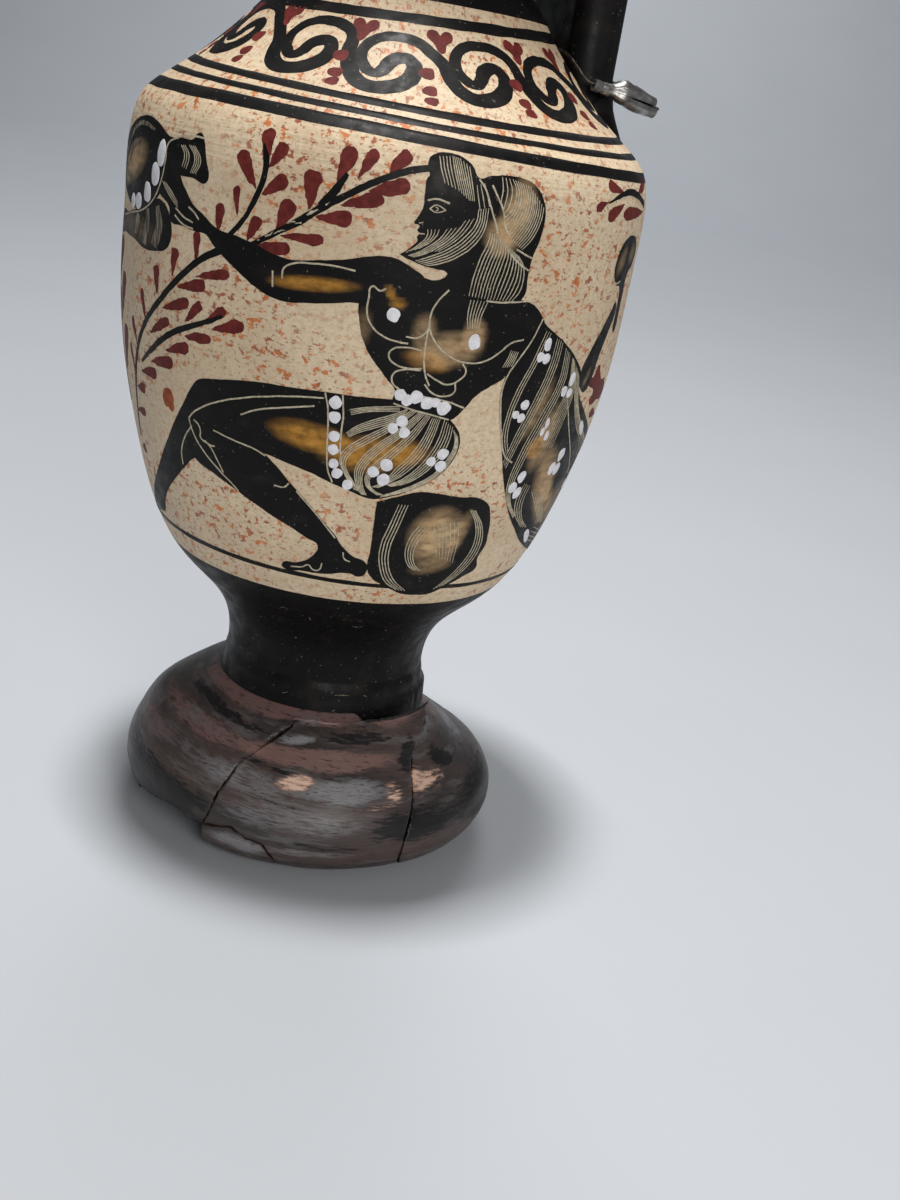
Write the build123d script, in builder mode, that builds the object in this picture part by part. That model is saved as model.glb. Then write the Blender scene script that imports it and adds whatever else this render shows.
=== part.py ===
"""A lekythos: a slender ceramic oil vessel with a cracked cushion foot and a lead seal wired to its handle."""
import os
from math import cos, radians, sin

from build123d import *

# Foot: a hollow cushion standing on a flat ring
foot_rim_radius = 36.4
foot_rim_height = 9.4
foot_height = 27.6
foot_wall = 5.0
foot_edge_round = 9.6
foot_stand_width = 4.5
dome_out = 9.3
dome_drop = 7.6

# Stem: the waist between foot and belly
stem_waist_radius = 19.0
stem_flare = 2.0
stem_height = 6.2

# Belly: each ring of its outline is a swell and a rise from the ring below
belly_low_swell = 11.8
belly_low_rise = 19.0
belly_mid_swell = 8.3
belly_mid_rise = 18.0
belly_high_swell = 5.0
belly_high_rise = 24.0
belly_top_swell = 0.9
belly_top_rise = 21.5
belly_wall = 4.0
floor_radius = 14.0
floor_thickness = 7.0

# Shoulder: from the rounded edge in to the neck
edge_inset = 2.6
edge_rise = 15.5
edge_wall = 5.0
slope_low_inset = 7.4
slope_low_rise = 6.0
slope_high_inset = 5.25
slope_high_rise = 5.0
neck_base_inset = 6.85
neck_base_rise = 8.2
shoulder_wall = 5.5

# Neck and mouth
neck_radius = 12.0
neck_taper_height = 18.3
neck_straight_height = 19.0
neck_wall = 4.5
bore_lead = 4.0
cup_low_flare = 8.5
cup_low_rise = 8.0
cup_high_flare = 3.7
cup_high_rise = 12.0
lip_flare = 1.3
lip_rise = 14.0
lip_width = 5.0
lip_round = 1.4
funnel_step = 4.5
funnel_depth = 20.0

# Handle: a flat strap that rises straight from the shoulder and bends in to the neck
finger_gap = 14.75
strap_width = 20.0
strap_thickness = 9.5
strap_corner = 4.0
strap_bend_radius = 15.0
strap_drop = 6.0
root_spread = 4.5
root_corner = 5.5
root_rise = 0.5
root_below_neck = 6.2

# Seal wire: a loose ring round the handle with a straight tail
wire_radius = 0.4
wire_side_gap = 0.7
wire_inner_gap = 1.9
wire_corner = 4.6
loop_tilt = 16.0
loop_above_shoulder = 6.38
tail_back = 3.1
tail_clear = 3.3
tail_drop = 4.5
tail_slope = -9.5
tail_bend = 1.2
tail_tip_length = 0.6

# Lead seal: a sheet folded round the tail and crimped
seal_clearance = 0.06
seal_inset = 1.0
seal_length = 13.0
seal_neck_width = 2.2
seal_neck_thickness = 2.0
seal_neck_corner = 0.9
seal_bulge_at = 6.0
seal_bulge_width = 4.4
seal_bulge_thickness = 3.8
seal_bulge_corner = 1.7
seal_end_width = 4.0
seal_end_thickness = 2.6
seal_end_corner = 1.0
fold_gap = 0.35
fold_depth = 5.0
fold_offset = 0.75

# Breaks in the foot, drawn on an upright plane that faces front_angle
front_angle = -110.0
break_margin = 2.0
break_depth = 5.0
block_depth = 50.0
right_break_back = 20.0
slump_top = 4.0
slump_dome = 3.6
slump_rim = 1.0
slump_swell = 0.3
right_crack = [(22.5, 26.4), (20.9, 25.2), (18.7, 21.1), (19.6, 16.1), (19.6, 12.8), (18.9, 5.9)]
left_crack = [(-17.7, 7.8), (-16.9, 9.9), (-15.5, 14.6), (-12.8, 18.8), (-8.9, 22.0), (-3.9, 25.8)]
strip_crack = [(-12.6, 9.3), (-9.5, 7.9), (-6.5, 7.5), (-3.6, 3.0)]
lost_edge = [(-31.5, 6.1), (-25.7, 8.1), (-24.0, 8.6), (-20.4, 7.9)]
block_margin = 5.0

# Radii and heights that follow from the steps above
foot_stand_outer = foot_rim_radius - foot_edge_round
foot_stand_inner = foot_stand_outer - foot_stand_width
dome_inset = foot_wall * cos(radians(45))
stem_base_radius = stem_waist_radius + stem_flare
stem_waist_height = foot_height + stem_height
belly_low_radius = stem_waist_radius + belly_low_swell
belly_low_height = stem_waist_height + belly_low_rise
belly_mid_radius = belly_low_radius + belly_mid_swell
belly_mid_height = belly_low_height + belly_mid_rise
belly_high_radius = belly_mid_radius + belly_high_swell
belly_high_height = belly_mid_height + belly_high_rise
belly_radius = belly_high_radius + belly_top_swell
belly_height = belly_high_height + belly_top_rise
floor_height = stem_waist_height + floor_thickness
edge_radius = belly_radius - edge_inset
edge_height = belly_height + edge_rise
slope_low_radius = edge_radius - slope_low_inset
slope_low_height = edge_height + slope_low_rise
slope_high_radius = slope_low_radius - slope_high_inset
slope_high_height = slope_low_height + slope_high_rise
neck_base_radius = slope_high_radius - neck_base_inset
neck_base_height = slope_high_height + neck_base_rise
neck_waist_height = neck_base_height + neck_taper_height
bore_radius = neck_radius - neck_wall
bore_base_height = neck_waist_height - bore_lead
mouth_base_height = neck_waist_height + neck_straight_height
cup_low_radius = neck_radius + cup_low_flare
cup_low_height = mouth_base_height + cup_low_rise
cup_high_radius = cup_low_radius + cup_high_flare
cup_high_height = cup_low_height + cup_high_rise
lip_radius = cup_high_radius + lip_flare
rim_height = cup_high_height + lip_rise
funnel_radius = lip_radius - lip_width - funnel_step
funnel_height = rim_height - funnel_depth
strap_centre = neck_radius + finger_gap + strap_thickness / 2
strap_top_height = mouth_base_height - strap_drop
root_base_height = edge_height + root_rise
root_top_height = neck_base_height - root_below_neck
shoulder_steepness = (neck_base_height - slope_low_height) / (slope_low_radius - neck_base_radius)
strap_foot_height = neck_base_height - (strap_centre - neck_base_radius) * shoulder_steepness
loop_height = strap_foot_height + loop_above_shoulder
tail_start = Vector(strap_centre - tail_back, -strap_width / 2 - tail_clear, loop_height - tail_drop)
tail_length = seal_inset + seal_length + tail_tip_length
break_radius = stem_base_radius + break_margin
below_table = -block_margin
above_foot = foot_height + block_margin
beyond_rim = foot_rim_radius + block_margin
clearing_height = 2 * above_foot
slumped_top_height = foot_height - slump_top
slumped_rim_height = foot_rim_height - slump_rim
slumped_rim_radius = foot_rim_radius + slump_swell
slumped_dome_radius = stem_base_radius + dome_out + slump_swell / 2
slumped_dome_height = foot_height - dome_drop - slump_dome

facing = (cos(radians(front_angle)), sin(radians(front_angle)), 0)
rightward = (-facing[1], facing[0], 0)
front_plane = Plane(origin=(0, 0, 0), x_dir=rightward, z_dir=facing)
front_break_plane = front_plane.offset(break_depth)
right_break_plane = front_plane.offset(-right_break_back)

dome_tangent = (1.0, -0.45)
edge_tangent = (-1.0, 1.0)
neck_tangent = (-0.62, 1.0)
belly_outline = [
    (stem_waist_radius, stem_waist_height),
    (belly_low_radius, belly_low_height),
    (belly_mid_radius, belly_mid_height),
    (belly_high_radius, belly_high_height),
    (belly_radius, belly_height),
    (edge_radius, edge_height),
]
belly_lining = [
    (edge_radius - edge_wall, edge_height),
    (belly_radius - belly_wall, belly_height),
    (belly_high_radius - belly_wall, belly_high_height),
    (belly_mid_radius - belly_wall, belly_mid_height),
    (belly_low_radius - belly_wall, belly_low_height),
    (floor_radius, floor_height),
]
shoulder_outline = [
    (edge_radius, edge_height),
    (slope_low_radius, slope_low_height),
    (slope_high_radius, slope_high_height),
    (neck_base_radius, neck_base_height),
]
shoulder_lining = [
    (neck_base_radius - shoulder_wall, neck_base_height),
    (slope_high_radius - shoulder_wall, slope_high_height),
    (slope_low_radius - shoulder_wall, slope_low_height),
    (edge_radius - edge_wall, edge_height),
]
neck_curve = [(neck_base_radius, neck_base_height), (neck_radius, neck_waist_height)]

os.makedirs("parts", exist_ok=True)

# The foot in one piece, before it broke
with BuildPart() as foot_whole:
    with BuildSketch(Plane.XZ):
        with BuildLine():
            Line((0, foot_height), (stem_base_radius, foot_height))
            Spline(
                (stem_base_radius, foot_height),
                (stem_base_radius + dome_out, foot_height - dome_drop),
                (foot_rim_radius, foot_rim_height),
                tangents=[dome_tangent, (0, -1)],
            )
            EllipticalCenterArc(
                (foot_stand_outer, foot_rim_height),
                foot_edge_round,
                foot_rim_height,
                start_angle=270,
                arc_size=90,
            )
            Line((foot_stand_outer, 0), (foot_stand_inner, 0))
            Line((foot_stand_inner, 0), (foot_rim_radius - foot_wall, foot_rim_height))
            Spline(
                (foot_rim_radius - foot_wall, foot_rim_height),
                (stem_base_radius + dome_out - dome_inset, foot_height - dome_drop - dome_inset),
                (stem_base_radius, foot_height - foot_wall),
                tangents=[(0, 1), (-1, 0)],
            )
            Line((stem_base_radius, foot_height - foot_wall), (0, foot_height - foot_wall))
            Line((0, foot_height - foot_wall), (0, foot_height))
        make_face()
    revolve(axis=Axis.Z)

# The same foot as it sank on its right side
with BuildPart() as foot_slumped:
    with BuildSketch(Plane.XZ):
        with BuildLine():
            Line((0, slumped_top_height), (stem_base_radius, slumped_top_height))
            Spline(
                (stem_base_radius, slumped_top_height),
                (slumped_dome_radius, slumped_dome_height),
                (slumped_rim_radius, slumped_rim_height),
                tangents=[dome_tangent, (0, -1)],
            )
            EllipticalCenterArc(
                (foot_stand_outer, slumped_rim_height),
                foot_edge_round + slump_swell,
                slumped_rim_height,
                start_angle=270,
                arc_size=90,
            )
            Line((foot_stand_outer, 0), (foot_stand_inner, 0))
            Line((foot_stand_inner, 0), (slumped_rim_radius - foot_wall, slumped_rim_height))
            Spline(
                (slumped_rim_radius - foot_wall, slumped_rim_height),
                (slumped_dome_radius - dome_inset, slumped_dome_height - dome_inset),
                (stem_base_radius, slumped_top_height - foot_wall),
                tangents=[(0, 1), (-1, 0)],
            )
            Line((stem_base_radius, slumped_top_height - foot_wall), (0, slumped_top_height - foot_wall))
            Line((0, slumped_top_height - foot_wall), (0, slumped_top_height))
        make_face()
    revolve(axis=Axis.Z)

# Blocks that divide the foot along its cracks, kept clear of the disc under the stem
with BuildPart() as front_block:
    with BuildSketch(front_break_plane):
        with BuildLine():
            Polyline(
                *left_crack,
                (left_crack[-1][0], above_foot),
                (right_crack[0][0], above_foot),
                *right_crack,
                (right_crack[-1][0], below_table),
                (strip_crack[-1][0], below_table),
                *reversed(strip_crack),
                close=True,
            )
        make_face()
    extrude(amount=block_depth)
    Cylinder(break_radius, clearing_height, mode=Mode.SUBTRACT)

with BuildPart() as right_block:
    with BuildSketch(right_break_plane):
        with BuildLine():
            Polyline(
                (right_crack[0][0], above_foot),
                *right_crack,
                (right_crack[-1][0], below_table),
                (beyond_rim, below_table),
                (beyond_rim, above_foot),
                close=True,
            )
        make_face()
    extrude(amount=right_break_back + block_depth)
    Cylinder(break_radius, clearing_height, mode=Mode.SUBTRACT)

with BuildPart() as strip_block:
    with BuildSketch(front_break_plane):
        with BuildLine():
            Polyline(
                left_crack[0],
                *strip_crack,
                (strip_crack[-1][0], below_table),
                (left_crack[0][0], below_table),
                close=True,
            )
        make_face()
    extrude(amount=block_depth)

with BuildPart() as lost_block:
    with BuildSketch(front_break_plane):
        with BuildLine():
            Polyline(
                *lost_edge,
                left_crack[0],
                (left_crack[0][0], below_table),
                (lost_edge[0][0], below_table),
                close=True,
            )
        make_face()
    extrude(amount=block_depth)

with BuildPart() as foot:
    add(foot_whole.part)
    add(front_block.part, mode=Mode.SUBTRACT)
    add(right_block.part, mode=Mode.SUBTRACT)
    add(strip_block.part, mode=Mode.SUBTRACT)
    add(lost_block.part, mode=Mode.SUBTRACT)

with BuildPart() as foot_front_sherd:
    add(foot_whole.part)
    add(front_block.part, mode=Mode.INTERSECT)

with BuildPart() as foot_right_sherd:
    add(foot_slumped.part)
    add(right_block.part, mode=Mode.INTERSECT)

with BuildPart() as foot_edge_sherd:
    add(foot_whole.part)
    add(strip_block.part, mode=Mode.INTERSECT)

# Solid stem that stands on the foot's disc
with BuildPart() as stem:
    with BuildSketch(Plane.XZ):
        with BuildLine():
            Line((0, foot_height), (stem_base_radius, foot_height))
            Spline(
                (stem_base_radius, foot_height),
                (stem_waist_radius, stem_waist_height),
                tangents=[(-0.35, 1), (0, 1)],
            )
            Line((stem_waist_radius, stem_waist_height), (0, stem_waist_height))
            Line((0, stem_waist_height), (0, foot_height))
        make_face()
    revolve(axis=Axis.Z)

# Thrown belly with the oil chamber inside
with BuildPart() as belly:
    with BuildSketch(Plane.XZ):
        with BuildLine():
            Line((0, stem_waist_height), (stem_waist_radius, stem_waist_height))
            Spline(*belly_outline, tangents=[(0, 1), edge_tangent])
            Line((edge_radius, edge_height), (edge_radius - edge_wall, edge_height))
            Spline(*belly_lining)
            Line((floor_radius, floor_height), (0, floor_height))
            Line((0, floor_height), (0, stem_waist_height))
        make_face()
    revolve(axis=Axis.Z)

# Shoulder, luted to the belly under the black stripe of its edge
with BuildPart() as shoulder:
    with BuildSketch(Plane.XZ):
        with BuildLine():
            Line((edge_radius - edge_wall, edge_height), (edge_radius, edge_height))
            Spline(*shoulder_outline, tangents=[edge_tangent, neck_tangent])
            Line((neck_base_radius, neck_base_height), (neck_base_radius - shoulder_wall, neck_base_height))
            Spline(*shoulder_lining)
        make_face()
    revolve(axis=Axis.Z)

# Slender neck with the pouring bore
with BuildPart() as neck:
    with BuildSketch(Plane.XZ):
        with BuildLine():
            Line((neck_base_radius - shoulder_wall, neck_base_height), (neck_base_radius, neck_base_height))
            Spline(*neck_curve, tangents=[neck_tangent, (0, 1)])
            Line((neck_radius, neck_waist_height), (neck_radius, mouth_base_height))
            Line((neck_radius, mouth_base_height), (bore_radius, mouth_base_height))
            Line((bore_radius, mouth_base_height), (bore_radius, bore_base_height))
            Spline(
                (bore_radius, bore_base_height),
                (neck_base_radius - shoulder_wall, neck_base_height),
                tangents=[(0, -1), (0.62, -1.0)],
            )
        make_face()
    revolve(axis=Axis.Z)

# Cup-shaped mouth with a flat lip
with BuildPart() as mouth:
    with BuildSketch(Plane.XZ):
        with BuildLine():
            Line((bore_radius, mouth_base_height), (neck_radius, mouth_base_height))
            Spline(
                (neck_radius, mouth_base_height),
                (cup_low_radius, cup_low_height),
                (cup_high_radius, cup_high_height),
                (lip_radius, rim_height),
                tangents=[(1, 0.35), (0, 1)],
            )
            Line((lip_radius, rim_height), (lip_radius - lip_width, rim_height))
            Spline(
                (lip_radius - lip_width, rim_height),
                (funnel_radius, funnel_height),
                (bore_radius, mouth_base_height),
                tangents=[(0, -1), (-0.2, -1)],
            )
        make_face()
    revolve(axis=Axis.Z)
    rim_edges = mouth.edges().filter_by(GeomType.CIRCLE).group_by(Axis.Z)[-1]
    fillet(rim_edges, radius=lip_round)

# Everything under the skin of shoulder and neck, used to seat the handle
with BuildPart() as vessel_core:
    with BuildSketch(Plane.XZ):
        with BuildLine():
            Line((0, edge_height), (edge_radius, edge_height))
            Spline(*shoulder_outline, tangents=[edge_tangent, neck_tangent])
            Spline(*neck_curve, tangents=[neck_tangent, (0, 1)])
            Line((neck_radius, neck_waist_height), (neck_radius, rim_height))
            Line((neck_radius, rim_height), (0, rim_height))
            Line((0, rim_height), (0, edge_height))
        make_face()
    revolve(axis=Axis.Z)

# Strap handle with a spread root
with BuildPart() as handle:
    with BuildLine(Plane.XZ) as strap_path:
        bend_height = strap_top_height - strap_bend_radius
        bend_inner = strap_centre - strap_bend_radius
        Line((strap_centre, root_top_height), (strap_centre, bend_height))
        RadiusArc((strap_centre, bend_height), (bend_inner, strap_top_height), -strap_bend_radius)
        Line((bend_inner, strap_top_height), (0, strap_top_height))
    with BuildSketch(Plane.XY.offset(root_top_height)):
        with Locations((strap_centre, 0)):
            RectangleRounded(strap_thickness, strap_width, strap_corner)
    sweep(path=strap_path.line)
    with BuildSketch(Plane.XY.offset(root_base_height)):
        with Locations((strap_centre, 0)):
            RectangleRounded(strap_thickness + root_spread, strap_width + root_spread, root_corner)
    with BuildSketch(Plane.XY.offset(root_top_height)):
        with Locations((strap_centre, 0)):
            RectangleRounded(strap_thickness, strap_width, strap_corner)
    loft()
    add(vessel_core.part, mode=Mode.SUBTRACT)

# Wire ring round the handle; its tail carries the seal
loop_plane = Plane(origin=(strap_centre, 0, loop_height)).rotated((0, loop_tilt, 0))
loop_side = strap_width / 2 + wire_side_gap + wire_radius
loop_outer = (strap_thickness / 2 + wire_side_gap + wire_radius) / cos(radians(loop_tilt))
loop_inner = (strap_thickness / 2 + wire_inner_gap + wire_radius) / cos(radians(loop_tilt))
tail_dir = Vector(cos(radians(tail_slope)), 0, sin(radians(tail_slope)))
tail_corner = loop_plane.from_local_coords(Vector(-loop_inner + wire_corner, -loop_side, 0))
tail_tip = tail_start + tail_dir * tail_length

with BuildPart() as seal_wire:
    with BuildLine(loop_plane) as loop_path:
        FilletPolyline(
            (loop_outer, loop_side),
            (-loop_inner, loop_side),
            (-loop_inner, -loop_side),
            (loop_outer, -loop_side),
            radius=wire_corner,
            close=True,
        )
    with BuildSketch(Plane(origin=loop_path.line @ 0, z_dir=loop_path.line % 0)):
        Circle(wire_radius)
    sweep(path=loop_path.line)
    with BuildLine() as tail_path:
        FilletPolyline(tail_corner, tail_start, tail_tip, radius=tail_bend)
    with BuildSketch(Plane(origin=tail_path.line @ 0, z_dir=tail_path.line % 0)):
        Circle(wire_radius)
    sweep(path=tail_path.line)

# Lead folded round the wire's tail, its free end left open like a split leaf
seal_plane = Plane(origin=tail_start + tail_dir * seal_inset, x_dir=(0, 1, 0), z_dir=tail_dir)

with BuildPart() as lead_seal:
    with BuildSketch(seal_plane):
        RectangleRounded(seal_neck_thickness, seal_neck_width, seal_neck_corner)
    with BuildSketch(seal_plane.offset(seal_bulge_at)):
        RectangleRounded(seal_bulge_thickness, seal_bulge_width, seal_bulge_corner)
    with BuildSketch(seal_plane.offset(seal_length)):
        RectangleRounded(seal_end_thickness, seal_end_width, seal_end_corner)
    loft()
    with BuildSketch(seal_plane):
        Circle(wire_radius + seal_clearance)
    extrude(amount=seal_length, mode=Mode.SUBTRACT)
    with BuildSketch(seal_plane.offset(seal_length)):
        with Locations((0, fold_offset)):
            Rectangle(2 * seal_end_width, fold_gap)
    extrude(amount=-fold_depth, mode=Mode.SUBTRACT)

foot.part.label = "foot"
foot_front_sherd.part.label = "foot_front_sherd"
foot_right_sherd.part.label = "foot_right_sherd"
foot_edge_sherd.part.label = "foot_edge_sherd"
stem.part.label = "stem"
belly.part.label = "belly"
shoulder.part.label = "shoulder"
neck.part.label = "neck"
mouth.part.label = "mouth"
handle.part.label = "handle"
seal_wire.part.label = "seal_wire"
lead_seal.part.label = "lead_seal"

export_step(foot.part, "parts/foot.step")
export_step(foot_front_sherd.part, "parts/foot_front_sherd.step")
export_step(foot_right_sherd.part, "parts/foot_right_sherd.step")
export_step(foot_edge_sherd.part, "parts/foot_edge_sherd.step")
export_step(stem.part, "parts/stem.step")
export_step(belly.part, "parts/belly.step")
export_step(shoulder.part, "parts/shoulder.step")
export_step(neck.part, "parts/neck.step")
export_step(mouth.part, "parts/mouth.step")
export_step(handle.part, "parts/handle.step")
export_step(seal_wire.part, "parts/seal_wire.step")
export_step(lead_seal.part, "parts/lead_seal.step")
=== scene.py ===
"""Looks of a painted lekythos: cream slip, black figure with cut lines, broken foot, lead seal."""

from math import atan2, cos, pi, radians, sin

import bmesh
import bpy
from mathutils import Matrix, Vector, noise
from mathutils.bvhtree import BVHTree


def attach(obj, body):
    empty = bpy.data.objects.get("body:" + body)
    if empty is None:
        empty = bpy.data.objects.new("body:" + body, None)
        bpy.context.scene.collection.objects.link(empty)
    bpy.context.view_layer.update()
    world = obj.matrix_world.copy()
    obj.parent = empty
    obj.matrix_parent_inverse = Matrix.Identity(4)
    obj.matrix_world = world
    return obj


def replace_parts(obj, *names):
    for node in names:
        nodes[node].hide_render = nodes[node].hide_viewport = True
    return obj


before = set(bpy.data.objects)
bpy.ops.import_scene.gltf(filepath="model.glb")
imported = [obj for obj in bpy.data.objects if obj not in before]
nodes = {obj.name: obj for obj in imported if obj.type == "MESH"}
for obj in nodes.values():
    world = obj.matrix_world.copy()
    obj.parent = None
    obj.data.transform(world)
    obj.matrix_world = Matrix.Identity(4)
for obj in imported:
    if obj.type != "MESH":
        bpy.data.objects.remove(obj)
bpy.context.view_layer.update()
scene = bpy.context.scene
noise.seed_set(7)            # the hand's wobble is the same in every run
MM = 0.001
FRONT = radians(-110)        # the side of the vessel that faces the viewer
BELLY_GIRTH = 45.0           # sheet millimetres per radian on the belly
SHOULDER_GIRTH = 30.0        # the same on the shoulder, the stem and the foot
STEM_GIRTH = 20.0
FOOT_GIRTH = 36.4
BRUSH_GIRTH = 36.0           # girth that the burnisher's streaks follow
WALL_LOW = 34.0              # heights where the painted wall starts, turns and ends
SHOULDER_EDGE = 131.8
NECK_BASE = 151.0
WALL_STEP = 0.2              # spacing of the measured wall and of the shoulder's slant
SLANT_STEP = 0.1
SLANT_COUNT = 193
MERGE = 1e-6                 # metres within which loose corners join


def clamp(t):
    return max(0.0, min(1.0, t))


def soft(t):
    t = clamp(t)
    return t * t * (3 - 2 * t)


def turn_of(place):
    """Angle round the vessel from its front."""
    return (atan2(place.y, place.x) - FRONT + pi) % (2 * pi) - pi


# The outer wall, measured on the vessel itself

def wall_tree(node):
    mesh = nodes[node].data
    return BVHTree.FromPolygons([v.co for v in mesh.vertices], [p.vertices for p in mesh.polygons])


wall = []
for node, low, high in (("belly", WALL_LOW, SHOULDER_EDGE), ("shoulder", SHOULDER_EDGE, NECK_BASE)):
    tree = wall_tree(node)
    for k in range(round((high - low) / WALL_STEP)):
        height = low + k * WALL_STEP + 0.01
        hit = tree.ray_cast(Vector((-0.1, -0.03, height * MM)), Vector((1, 0.3, 0)).normalized())[0]
        wall.append(hit.xy.length / MM)


def wall_radius(z):
    place = min(max((z - WALL_LOW) / WALL_STEP, 0), len(wall) - 1.001)
    k = int(place)
    return wall[k] + (wall[k + 1] - wall[k]) * (place - k)


slant = [0.0]
slant_heights = [SHOULDER_EDGE + SLANT_STEP * k for k in range(SLANT_COUNT)]
for low, high in zip(slant_heights, slant_heights[1:]):
    slant.append(slant[-1] + Vector((wall_radius(high) - wall_radius(low), high - low)).length)


def slant_height(v):
    if v <= 0:
        return SHOULDER_EDGE + v
    for k in range(len(slant) - 1):
        if slant[k + 1] >= v:
            return slant_heights[k] + SLANT_STEP * (v - slant[k]) / (slant[k + 1] - slant[k])
    return slant_heights[-1]


def on_wall(angle, z, lift):
    r = wall_radius(z) + lift
    return Vector((r * cos(angle), r * sin(angle), z)) * MM


def belly_sheet(u, v, lift):
    return on_wall(FRONT + u / BELLY_GIRTH, v, lift)


def shoulder_sheet(u, v, lift):
    return on_wall(FRONT + u / SHOULDER_GIRTH, slant_height(v), lift)


# Drawing on a flat sheet

def finished_mesh(obj):
    """The mesh that an object gives once its curve or modifiers have done their work."""
    scene.collection.objects.link(obj)
    bpy.context.view_layer.update()
    mesh = bpy.data.meshes.new_from_object(obj.evaluated_get(bpy.context.evaluated_depsgraph_get()))
    bpy.data.objects.remove(obj)
    return mesh


def draw_into(bm, curve):
    mesh = finished_mesh(bpy.data.objects.new(curve.name, curve))
    bpy.data.curves.remove(curve)
    bm.from_mesh(mesh)
    bpy.data.meshes.remove(mesh)


def knots(spline, points):
    spline.bezier_points.add(len(points) - 1)
    for knot, p in zip(spline.bezier_points, points):
        knot.co = (p[0], p[1], 0)
        knot.handle_left_type = knot.handle_right_type = "VECTOR" if len(p) > 2 else "AUTO"


def ribbons(bm, strokes, fineness=6):
    """Flat brush strokes: each is (points, width) or (points, widths at the points)."""
    curve = bpy.data.curves.new("strokes", "CURVE")
    curve.dimensions = "3D"
    curve.twist_mode = "Z_UP"
    curve.resolution_u = fineness
    curve.extrude = 0.5
    for points, width in strokes:
        spline = curve.splines.new("BEZIER")
        knots(spline, points)
        widths = width if isinstance(width, (list, tuple)) else [width] * len(points)
        for knot, w in zip(spline.bezier_points, widths):
            knot.radius = w
            knot.tilt = pi / 2
    draw_into(bm, curve)


def fill(bm, points, fineness=8):
    """A filled outline through the points; a point with a third value is a corner."""
    curve = bpy.data.curves.new("outline", "CURVE")
    curve.dimensions = "2D"
    curve.fill_mode = "FRONT"
    curve.resolution_u = fineness
    spline = curve.splines.new("BEZIER")
    spline.use_cyclic_u = True
    knots(spline, points)
    draw_into(bm, curve)


def leaf(bm, base, tip, width, waist=0.22):
    """A brush drop: narrow at its base, broad and blunt at its tip."""
    along = Vector(tip) - Vector(base)
    side = Vector((-along.y, along.x)).normalized()
    made = bmesh.ops.create_circle(bm, cap_ends=True, segments=44, radius=1)
    for v in made["verts"]:
        t = (v.co.x + 1) / 2
        blunt = 1 - (1 - abs(v.co.y)) ** 1.7 if t > 0.5 else abs(v.co.y)
        half = (1 if v.co.y > 0 else -1) * blunt * width * 0.56 * (waist + (1 - waist) * t ** 0.8)
        p = Vector(base) + along * t + side * half
        v.co = (p.x, p.y, 0)


def spot(bm, centre, size, turn=0.0, height=0.11):
    """A flat dab of thick paint."""
    rx, ry = size if isinstance(size, tuple) else (size, size)
    c, s = cos(radians(turn)), sin(radians(turn))
    made = bmesh.ops.create_uvsphere(bm, u_segments=20, v_segments=8, radius=1)
    for v in made["verts"]:
        own = Vector((centre[0] * 3, centre[1] * 3, 0))
        bulge = 1 + 0.20 * noise.noise(own + Vector((v.co.x, v.co.y, 0)) * 1.1)
        x, y = v.co.x * rx * bulge, v.co.y * ry * bulge
        v.co = (centre[0] + x * c - y * s, centre[1] + x * s + y * c, v.co.z * height)


def between(first, last, count):
    """Strokes that change evenly from one guide to the other."""
    steps = [k / (count - 1) for k in range(count)]
    pairs = list(zip(first, last))
    return [[(p[0] + (q[0] - p[0]) * t, p[1] + (q[1] - p[1]) * t) for p, q in pairs] for t in steps]


def hatch(width, *guides):
    """Strokes between successive guides: guide, count, guide, count, guide."""
    strokes = []
    for k in range(0, len(guides) - 2, 2):
        strokes += between(guides[k], guides[k + 2], guides[k + 1])[(1 if k else 0):]
    return [(s, [width * 0.6] + [width] * (len(s) - 2) + [width * 0.6]) for s in strokes]


def cut_level(bm, place, normal):
    geom = bm.verts[:] + bm.edges[:] + bm.faces[:]
    bmesh.ops.bisect_plane(bm, geom=geom, plane_co=place, plane_no=normal)


def grid_cut(bm, step):
    for axis in (0, 1):
        low = min(v.co[axis] for v in bm.verts)
        high = max(v.co[axis] for v in bm.verts)
        normal = Vector((1, 0, 0) if axis == 0 else (0, 1, 0))
        for k in range(int(low / step) - 1, int(high / step) + 2):
            if low < k * step < high:
                cut_level(bm, normal * (k * step), normal)


def even_triangles(bm, step):
    grid_cut(bm, step)
    bmesh.ops.triangulate(bm, faces=bm.faces)


def wobble(p, amount):
    shift = noise.noise_vector(Vector((p.x * 0.7, p.y * 0.7, 3.1)))
    shift += noise.noise_vector(Vector((p.x * 2.1, p.y * 2.1, 8.3))) * 0.5
    return p.x + shift.x * amount, p.y + shift.y * amount


def raise_film(bm, film):
    """Gives flat paint its thickness; its rim stays crisp."""
    raised = bmesh.ops.extrude_face_region(bm, geom=bm.faces[:], use_keep_orig=True)["geom"]
    top = [v for v in raised if isinstance(v, bmesh.types.BMVert)]
    for v in top:
        v.co.z += film
    bmesh.ops.recalc_face_normals(bm, faces=bm.faces)
    return top


def sleeve(segments, depth, cuts):
    """A thin double-walled tube of even rings, and the vertices of its second wall."""
    bm = bmesh.new()
    bmesh.ops.create_cone(bm, cap_ends=False, segments=segments, radius1=1, radius2=1, depth=depth)
    uprights = [e for e in bm.edges if abs(e.verts[0].co.z - e.verts[1].co.z) > depth / 2]
    bmesh.ops.subdivide_edges(bm, edges=uprights, cuts=cuts, use_grid_fill=True)
    return bm, set(raise_film(bm, 0.0))


def merged_copy(node):
    """A CAD piece's mesh with its loose triangles joined."""
    bm = bmesh.new()
    bm.from_mesh(nodes[node].data)
    bmesh.ops.remove_doubles(bm, verts=bm.verts, dist=MERGE)
    return bm


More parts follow.
